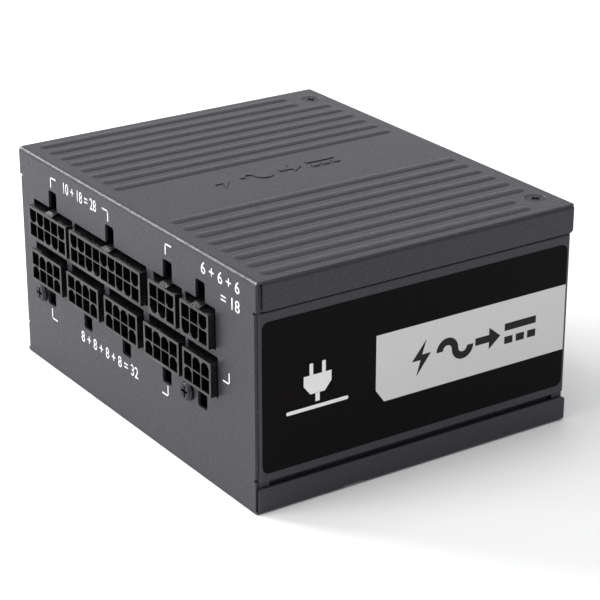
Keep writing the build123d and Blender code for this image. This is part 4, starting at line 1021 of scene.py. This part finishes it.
@dataclass
class BoardWork:
    """Solder joints, chips and small parts on the boards inside the case."""

    cabinet: Cabinet
    joint_radius: float = 0.95
    joint_height: float = 0.8
    # columns, rows and inset of the leads under each part of the main board
    leads: tuple[tuple[str, int, int, float], ...] = (
        ("transformer_core", 6, 2, 2.5),
        ("bulk_capacitor", 2, 1, 9.0),
        ("inrush_relay", 3, 2, 1.8),
        ("bridge_rectifier", 4, 1, 2.2),
        ("x_capacitor", 2, 1, 1.5),
        ("standby_transformer", 4, 2, 1.6),
        ("primary_heatsink", 2, 1, 3.0),
        ("secondary_heatsink", 2, 1, 3.0),
        ("common_mode_core", 2, 2, 2.2),
        ("pfc_choke_core", 2, 2, 3.4),
        ("fuse", 2, 1, 2.4),
        ("y_capacitors", 2, 2, 1.8),
        ("switching_transistors", 6, 1, 2.4),
    )
    can_row: tuple[float, float, float, int] = (-22.3, 24.3, -31.0, 12)
    bar_columns: tuple[float, ...] = (-45.0, -33.0, 33.0, 45.0)
    bar_step: float = 2.2
    bar_inset: float = 0.5
    socket_rim: float = 1.2
    contact_pitch: float = 4.2
    # where the two rows of tails leave a socket, from the outer end of its contacts
    tail_levels: tuple[float, float] = (0.5, 4.7)
    # middle across, middle along, width and length of the wide tracks
    tracks: tuple[tuple[float, float, float, float], ...] = (
        (-39.0, 6.0, 12.0, 34.0),
        (-39.0, -20.0, 22.0, 5.0),
        (-14.0, 8.0, 5.0, 30.0),
        (0.8, 16.5, 22.0, 5.0),
        (15.5, 24.0, 5.0, 13.0),
        (28.0, 33.0, 34.0, 4.0),
        (42.0, 19.0, 5.0, 22.0),
        (30.0, 2.0, 20.0, 5.0),
        (50.0, -14.0, 5.0, 26.0),
        (0.0, -24.5, 52.0, 4.5),
        (36.0, -30.5, 22.0, 5.5),
        (-36.0, -30.5, 22.0, 5.5),
    )
    chip_height: float = 0.7

    def build(self) -> None:
        """Builds the joints and the small parts."""
        self.lay_tracks()
        self.solder_side()
        self.socket_joints()
        self.chips("main_board_chips", self.main_board_chips())
        self.chips("daughter_board_chips", self.daughter_board_chips())

    def joints(self, name: str, places: Sequence[Sequence[float]], turn: Matrix) -> None:
        """Lays a solder joint at each place.

        Args:
            name: name of the piece.
            places: middles of the joints' feet in millimetres.
            turn: turns a joint that stands on +Z to where it points.
        """
        shape = bmesh.new()
        for place in places:
            bmesh.ops.create_cone(
                shape,
                cap_ends=True,
                segments=10,
                radius1=self.joint_radius,
                radius2=self.joint_radius * 0.35,
                depth=self.joint_height,
                matrix=Matrix.Translation(place) @ turn @ Matrix.Translation((0, 0, self.joint_height / 2)),
            )
        fixed(name, shape, self.cabinet.get("solder"))

    def lay_tracks(self) -> None:
        """Lays the wide tracks under the solder mask of the main board's upper side."""
        stencil = Stencil()
        for x, y, width, length in self.tracks:
            stencil.bar(x, y, width, length, 0.0, 1.2)
        level = Matrix.Translation((0, 0, extent("main_board")[1].z * MM)) @ Matrix.Scale(MM, 4)
        stencil.lay("main_board_tracks", level, self.cabinet.get("masked_track"))
        LOG.info("main board tracks")

    def solder_side(self) -> None:
        """Lays the joints of the main board's parts on its upper side."""
        top = extent("main_board")[1].z
        places = []
        for node, columns, rows, inset in self.leads:
            low, high = extent(node)
            places += [
                (x, y, top)
                for x in spread(low.x + inset, high.x - inset, columns)
                for y in spread(low.y + min(inset, 2.0), high.y - min(inset, 2.0), rows)
            ]
        first, last, row_y, count = self.can_row
        places += [(x, row_y, top) for x in spread(first, last, count)]
        bar_y = extent("bus_bars")[1].y - self.bar_inset
        places += [(x + side * self.bar_step, bar_y, top) for x in self.bar_columns for side in (-1, 1)]
        self.joints("main_board_solder_joints", places, Matrix())

    def socket_joints(self) -> None:
        """Lays a joint on the tail of each contact behind the connector board."""
        back = extent("connector_board")[1].y
        low, high = extent("socket_pins")
        turn = Matrix.Rotation(math.radians(-90), 4, "X")
        places = []
        for name in ConnectorFace.sockets:
            near, far = extent(name)
            middle = (near.x + far.x) / 2
            columns = round((far.x - near.x - self.socket_rim) / self.contact_pitch)
            end, way = (high.z, -1) if near.z + far.z > low.z + high.z else (low.z, 1)
            places += [
                (middle + (index - (columns - 1) / 2) * self.contact_pitch, back, end + way * tail)
                for index in range(columns)
                for tail in self.tail_levels
            ]
        self.joints("connector_board_solder_joints", places, turn)

    def main_board_chips(self) -> list[tuple[Vector, Vector]]:
        """Middles and sizes of the small parts on the main board's upper side."""
        level = extent("main_board")[1].z + self.chip_height / 2
        parts = [
            (Vector((x, y, level)), Vector((5.0, 4.0, self.chip_height)))
            for x, y in ((-52.0, 0.0), (-30.0, -22.0), (12.0, -14.5), (24.0, 22.0), (50.0, -4.0))
        ]
        for start, row_y, count in ((-56.0, -14.0, 7), (-24.0, -18.0, 6), (8.0, 28.0, 6), (46.0, 14.0, 4)):
            parts += [
                (Vector((start + 2.4 * index, row_y, level)), Vector((1.2, 2.0, self.chip_height)))
                for index in range(count)
            ]
        return parts

    def daughter_board_chips(self) -> list[tuple[Vector, Vector]]:
        """Middles and sizes of the small parts on the upright control board."""
        low = extent("daughter_boards")[0]
        face = low.y - self.chip_height / 2
        parts = [
            (Vector((x, face, z)), Vector((width, self.chip_height, 5.0)))
            for x, z, width in (
                (-50.0, 47.0, 6.0),
                (-38.0, 44.0, 8.0),
                (-48.5, 35.0, 4.5),
                (-29.0, 48.0, 4.0),
            )
        ]
        for row_z, count in ((52.5, 11), (39.5, 9), (31.5, 10)):
            parts += [
                (Vector((-54.0 + 2.8 * index, face, row_z)), Vector((1.2, self.chip_height, 2.0)))
                for index in range(count)
            ]
        return parts

    def chips(self, name: str, parts: Sequence[tuple[Vector, Vector]]) -> None:
        """Lays bevelled black bodies with tinned ends.

        Args:
            name: name of the pair of pieces.
            parts: middle and size of each body in millimetres.
        """
        for suffix, grow, finish in (("", 0.0, "package_black"), ("_ends", 0.5, "solder")):
            shape = bmesh.new()
            for middle, size in parts:
                out = 1 if size.y == self.chip_height else 2
                body = size.copy()
                long_axis = max((axis for axis in range(3) if axis != out), key=lambda axis: size[axis])
                body[long_axis] += grow
                if grow:
                    body[out] *= 0.4
                bmesh.ops.create_cube(
                    shape, size=1.0, matrix=Matrix.Translation(middle) @ Matrix.Diagonal((*body, 1.0))
                )
            bmesh.ops.bevel(
                shape, geom=shape.edges[:], offset=0.1, affect="EDGES", segments=1, profile=0.5, material=-1
            )
            fixed(f"{name}{suffix}", shape, self.cabinet.get(finish))


@dataclass
class CanTrim:
    """Bare tops of the capacitors on the main board and the pale stripe on the large one's sleeve."""

    cabinet: Cabinet
    rim: float = 1.1
    dish: float = 0.06
    stripe_turn: float = 26.0
    stripe_film: float = 0.02
    stripe_ends: tuple[float, float] = (5.5, 1.5)
    output_columns: int = 6
    output_pitch: float = 8.4
    output_first: tuple[float, float] = (-20.0, -31.0)
    output_height: float = 14.0
    output_radius: float = 3.6

    def build(self) -> None:
        """Builds the tops and the stripe."""
        low, high = extent("bulk_capacitor")
        radius = (high.x - low.x) / 2
        middle = Vector(((low.x + high.x) / 2, (low.y + high.y) / 2, low.z))
        tops = [(middle, radius - 2 * self.rim)]
        first_x, row_y = self.output_first
        level = extent("main_board")[0].z - self.output_height
        tops += [
            (Vector((first_x + self.output_pitch * index, row_y, level)), self.output_radius - self.rim)
            for index in range(self.output_columns)
        ]
        shape = bmesh.new()
        for place, top_radius in tops:
            made = bmesh.ops.create_circle(
                shape, cap_ends=True, radius=top_radius, segments=32, matrix=Matrix.Translation(place)
            )
            disc = list({face for vert in made["verts"] for face in vert.link_faces})
            raised = bmesh.ops.extrude_face_region(shape, geom=disc)
            moved = [item for item in raised["geom"] if isinstance(item, BMVert)]
            bmesh.ops.translate(shape, verts=moved, vec=(0, 0, -self.dish))
        bmesh.ops.recalc_face_normals(shape, faces=shape.faces[:])
        fixed("capacitor_tops", shape, self.cabinet.get("bare_alloy"))
        self.stripe(middle, radius, high.z)

    def stripe(self, middle: Vector, radius: float, top: float) -> None:
        """Wraps the stripe that marks the negative side round a part of the sleeve.

        Args:
            middle: middle of the can's low end.
            radius: radius of the can.
            top: where the can meets the board.
        """
        shape = bmesh.new()
        ends = [
            shape.verts.new((middle.x + radius + self.stripe_film, middle.y, level))
            for level in (middle.z + self.stripe_ends[0], top - self.stripe_ends[1])
        ]
        edge = shape.edges.new(ends)
        bmesh.ops.spin(
            shape,
            geom=[*ends, edge],
            cent=(middle.x, middle.y, 0),
            axis=(0, 0, 1),
            angle=math.radians(self.stripe_turn),
            steps=8,
        )
        bmesh.ops.solidify(shape, geom=shape.faces[:], thickness=self.stripe_film / 2)
        bmesh.ops.recalc_face_normals(shape, faces=shape.faces[:])
        fixed("bulk_capacitor_stripe", shape, self.cabinet.get("silver_ink"))


@dataclass
class WireTurns:
    """Turns of enamelled wire round the transformer's winding and the fan's stator arms."""

    cabinet: Cabinet
    wire: float = 0.32
    coil_reach: float = 8.4
    coil_size: tuple[float, float, float] = (4.2, 6.4, 4.8)
    coil_turns: int = 7
    winding_turns: int = 24
    ring_steps: int = 40
    # shares of the wire's radius: how far a turn sinks in, how wide and how round a stator turn is
    sink: float = 0.4
    fill: float = 0.9
    rounding: float = 0.55

    def build(self) -> None:
        """Winds the wire."""
        self.transformer()
        self.stator()

    def ring(self, shape: BMesh, middle: Vector, radius: float) -> None:
        """Adds one closed turn round an upright axis.

        Args:
            shape: where it goes.
            middle: the middle of the turn.
            radius: radius of the wire's middle line.
        """
        place = Matrix.Translation(middle + Vector((radius, 0, 0)))
        section = place @ Matrix.Rotation(math.radians(90), 4, "X")
        made = bmesh.ops.create_circle(shape, segments=6, radius=self.wire, matrix=section)
        loop = list({edge for vert in made["verts"] for edge in vert.link_edges})
        bmesh.ops.spin(
            shape,
            geom=[*made["verts"], *loop],
            cent=middle,
            axis=(0, 0, 1),
            angle=math.radians(360),
            steps=self.ring_steps,
            use_merge=True,
        )

    def transformer(self) -> None:
        """Winds bare turns round the transformer's winding."""
        low, high = extent("transformer_winding")
        radius = (high.x - low.x) / 2
        centre = (low + high) / 2
        shape = bmesh.new()
        for level in spread(low.z + self.wire, high.z - self.wire, self.winding_turns):
            self.ring(shape, Vector((centre.x, centre.y, level)), radius - self.wire * self.sink)
        self.close("transformer_wire_turns", shape)

    def stator(self) -> None:
        """Winds bare turns round the four stator arms."""
        low, high = extent("stator_coils")
        middle = (low + high) / 2
        shape = bmesh.new()
        along, across, tall = self.coil_size
        turn_size = (2 * self.wire * self.fill, across + self.wire / 2, tall + self.wire / 2, 1.0)
        for quarter in range(4):
            turn = Matrix.Rotation(math.radians(90 * quarter), 4, "Z")
            for step in spread(-along / 2 + self.wire, along / 2 - self.wire, self.coil_turns):
                made = bmesh.ops.create_cube(
                    shape,
                    size=1.0,
                    matrix=Matrix.Translation(middle)
                    @ turn
                    @ Matrix.Translation((self.coil_reach + step, 0, 0))
                    @ Matrix.Diagonal(turn_size),
                )
                edges = list({edge for vert in made["verts"] for edge in vert.link_edges})
                bmesh.ops.bevel(
                    shape,
                    geom=edges,
                    offset=self.wire * self.rounding,
                    affect="EDGES",
                    segments=2,
                    profile=0.5,
                    material=-1,
                )
        self.close("stator_wire_turns", shape)

    def close(self, name: str, shape: BMesh) -> None:
        """Turns the wound shape into a piece of copper."""
        bmesh.ops.recalc_face_normals(shape, faces=shape.faces[:])
        fixed(name, shape, self.cabinet.get("copper"))


# ------------------------------------------------------------------------------- the studio
@dataclass
class Studio:
    """Pale floor, soft lights and the camera."""

    floor_half: float = 4.0
    bearing: float = 56.14
    height: float = 22.6
    distance: float = 0.5976
    lens: float = 128.1
    aim_up: float = 0.03175
    aim_right: float = 0.00388
    aim_down: float = 0.00564

    def build(self) -> None:
        """Sets up everything that isn't the object."""
        self.floor()
        self.sky()
        self.softbox("front_softbox", (-0.35, -1.7, 0.95), 1.3, 0.9, 21.0)
        self.softbox("top_softbox", (0.0, -0.1, 1.7), 1.4, 1.4, 12.5)
        self.softbox("bend_strip", (-1.46, -0.72, 0.97), 0.9, 0.2, 32.0)
        self.softbox("rear_strip", (-1.6, 1.1, 0.62), 1.3, 0.5, 2.2)
        self.camera()
        LOG.info("studio")

    def floor(self) -> None:
        """Lays the pale floor."""
        shape = bmesh.new()
        bmesh.ops.create_grid(shape, x_segments=1, y_segments=1, size=self.floor_half)
        mesh = bpy.data.meshes.new("floor")
        shape.to_mesh(mesh)
        shape.free()
        recipe = Recipe("Pale paper floor")
        recipe.tint(recipe.noise(400.0, 1.0), ((0.3, (0.92, 0.92, 0.92)), (0.7, (0.94, 0.94, 0.94))))
        recipe.set(Roughness=0.9, Specular_IOR_Level=0.1)
        mesh.materials.append(recipe.material)
        piece = bpy.data.objects.new("floor", mesh)
        bpy.context.scene.collection.objects.link(piece)

    def sky(self) -> None:
        """Fills the room with even pale light."""
        world = bpy.data.worlds.new("room")
        world.use_nodes = True
        background = world.node_tree.nodes["Background"]
        background.inputs["Color"].default_value = (0.97, 0.98, 1.0, 1.0)
        background.inputs["Strength"].default_value = 0.47
        bpy.context.scene.world = world

    def softbox(self, name: str, place: Sequence[float], width: float, height: float, power: float) -> None:
        """Hangs one soft rectangular light that faces the object.

        Args:
            name: name of the light.
            place: where it hangs, in metres.
            width: its width in metres.
            height: its height in metres.
            power: its power in watts.
        """
        light = bpy.data.lights.new(name, "AREA")
        light.shape = "RECTANGLE"
        light.size = width
        light.size_y = height
        light.energy = power
        holder = bpy.data.objects.new(name, light)
        towards = Vector((0, 0, self.aim_up)) - Vector(place)
        aim = towards.to_track_quat("-Z", "Y").to_matrix().to_4x4()
        holder.matrix_world = Matrix.Translation(place) @ aim
        bpy.context.scene.collection.objects.link(holder)

    def camera(self) -> None:
        """Stands the camera at its bearing and height, aimed beside the case's middle."""
        turn, lift = math.radians(self.bearing), math.radians(self.height)
        ahead = Vector((-math.sin(turn) * math.cos(lift), math.cos(turn) * math.cos(lift), -math.sin(lift)))
        rightwards = ahead.cross(Vector((0, 0, 1))).normalized()
        upwards = rightwards.cross(ahead)
        target = Vector((0, 0, self.aim_up)) + rightwards * self.aim_right - upwards * self.aim_down
        lens = bpy.data.cameras.new("camera")
        lens.sensor_width = 36.0
        lens.lens = self.lens
        lens.clip_start = 0.01
        holder = bpy.data.objects.new("camera", lens)
        spot = target - ahead * self.distance
        holder.matrix_world = Matrix.Translation(spot) @ ahead.to_track_quat("-Z", "Y").to_matrix().to_4x4()
        bpy.context.scene.collection.objects.link(holder)
        bpy.context.scene.camera = holder


def main() -> None:
    """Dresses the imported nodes, builds the other pieces and sets up the studio."""
    logging.basicConfig(level=logging.INFO, format="%(name)s: %(message)s")
    slots = {part["node"]: part["material_slot"] for part in frame["record"]["subparts"]}
    cabinet = Cabinet()
    cabinet.dress(frame["nodes"], slots)
    LOG.info("finishes on %d nodes", len(frame["nodes"]))
    ConnectorFace(cabinet).build()
    SideLabel(cabinet).build()
    RatingLabel(cabinet).build()
    TopMark(cabinet).build()
    FanFace(cabinet).build()
    RearFittings(cabinet).build()
    BoardWork(cabinet).build()
    CanTrim(cabinet).build()
    WireTurns(cabinet).build()
    Studio().build()
    bpy.context.scene.view_settings.view_transform = "Standard"


if __name__ == "__main__":
    main()
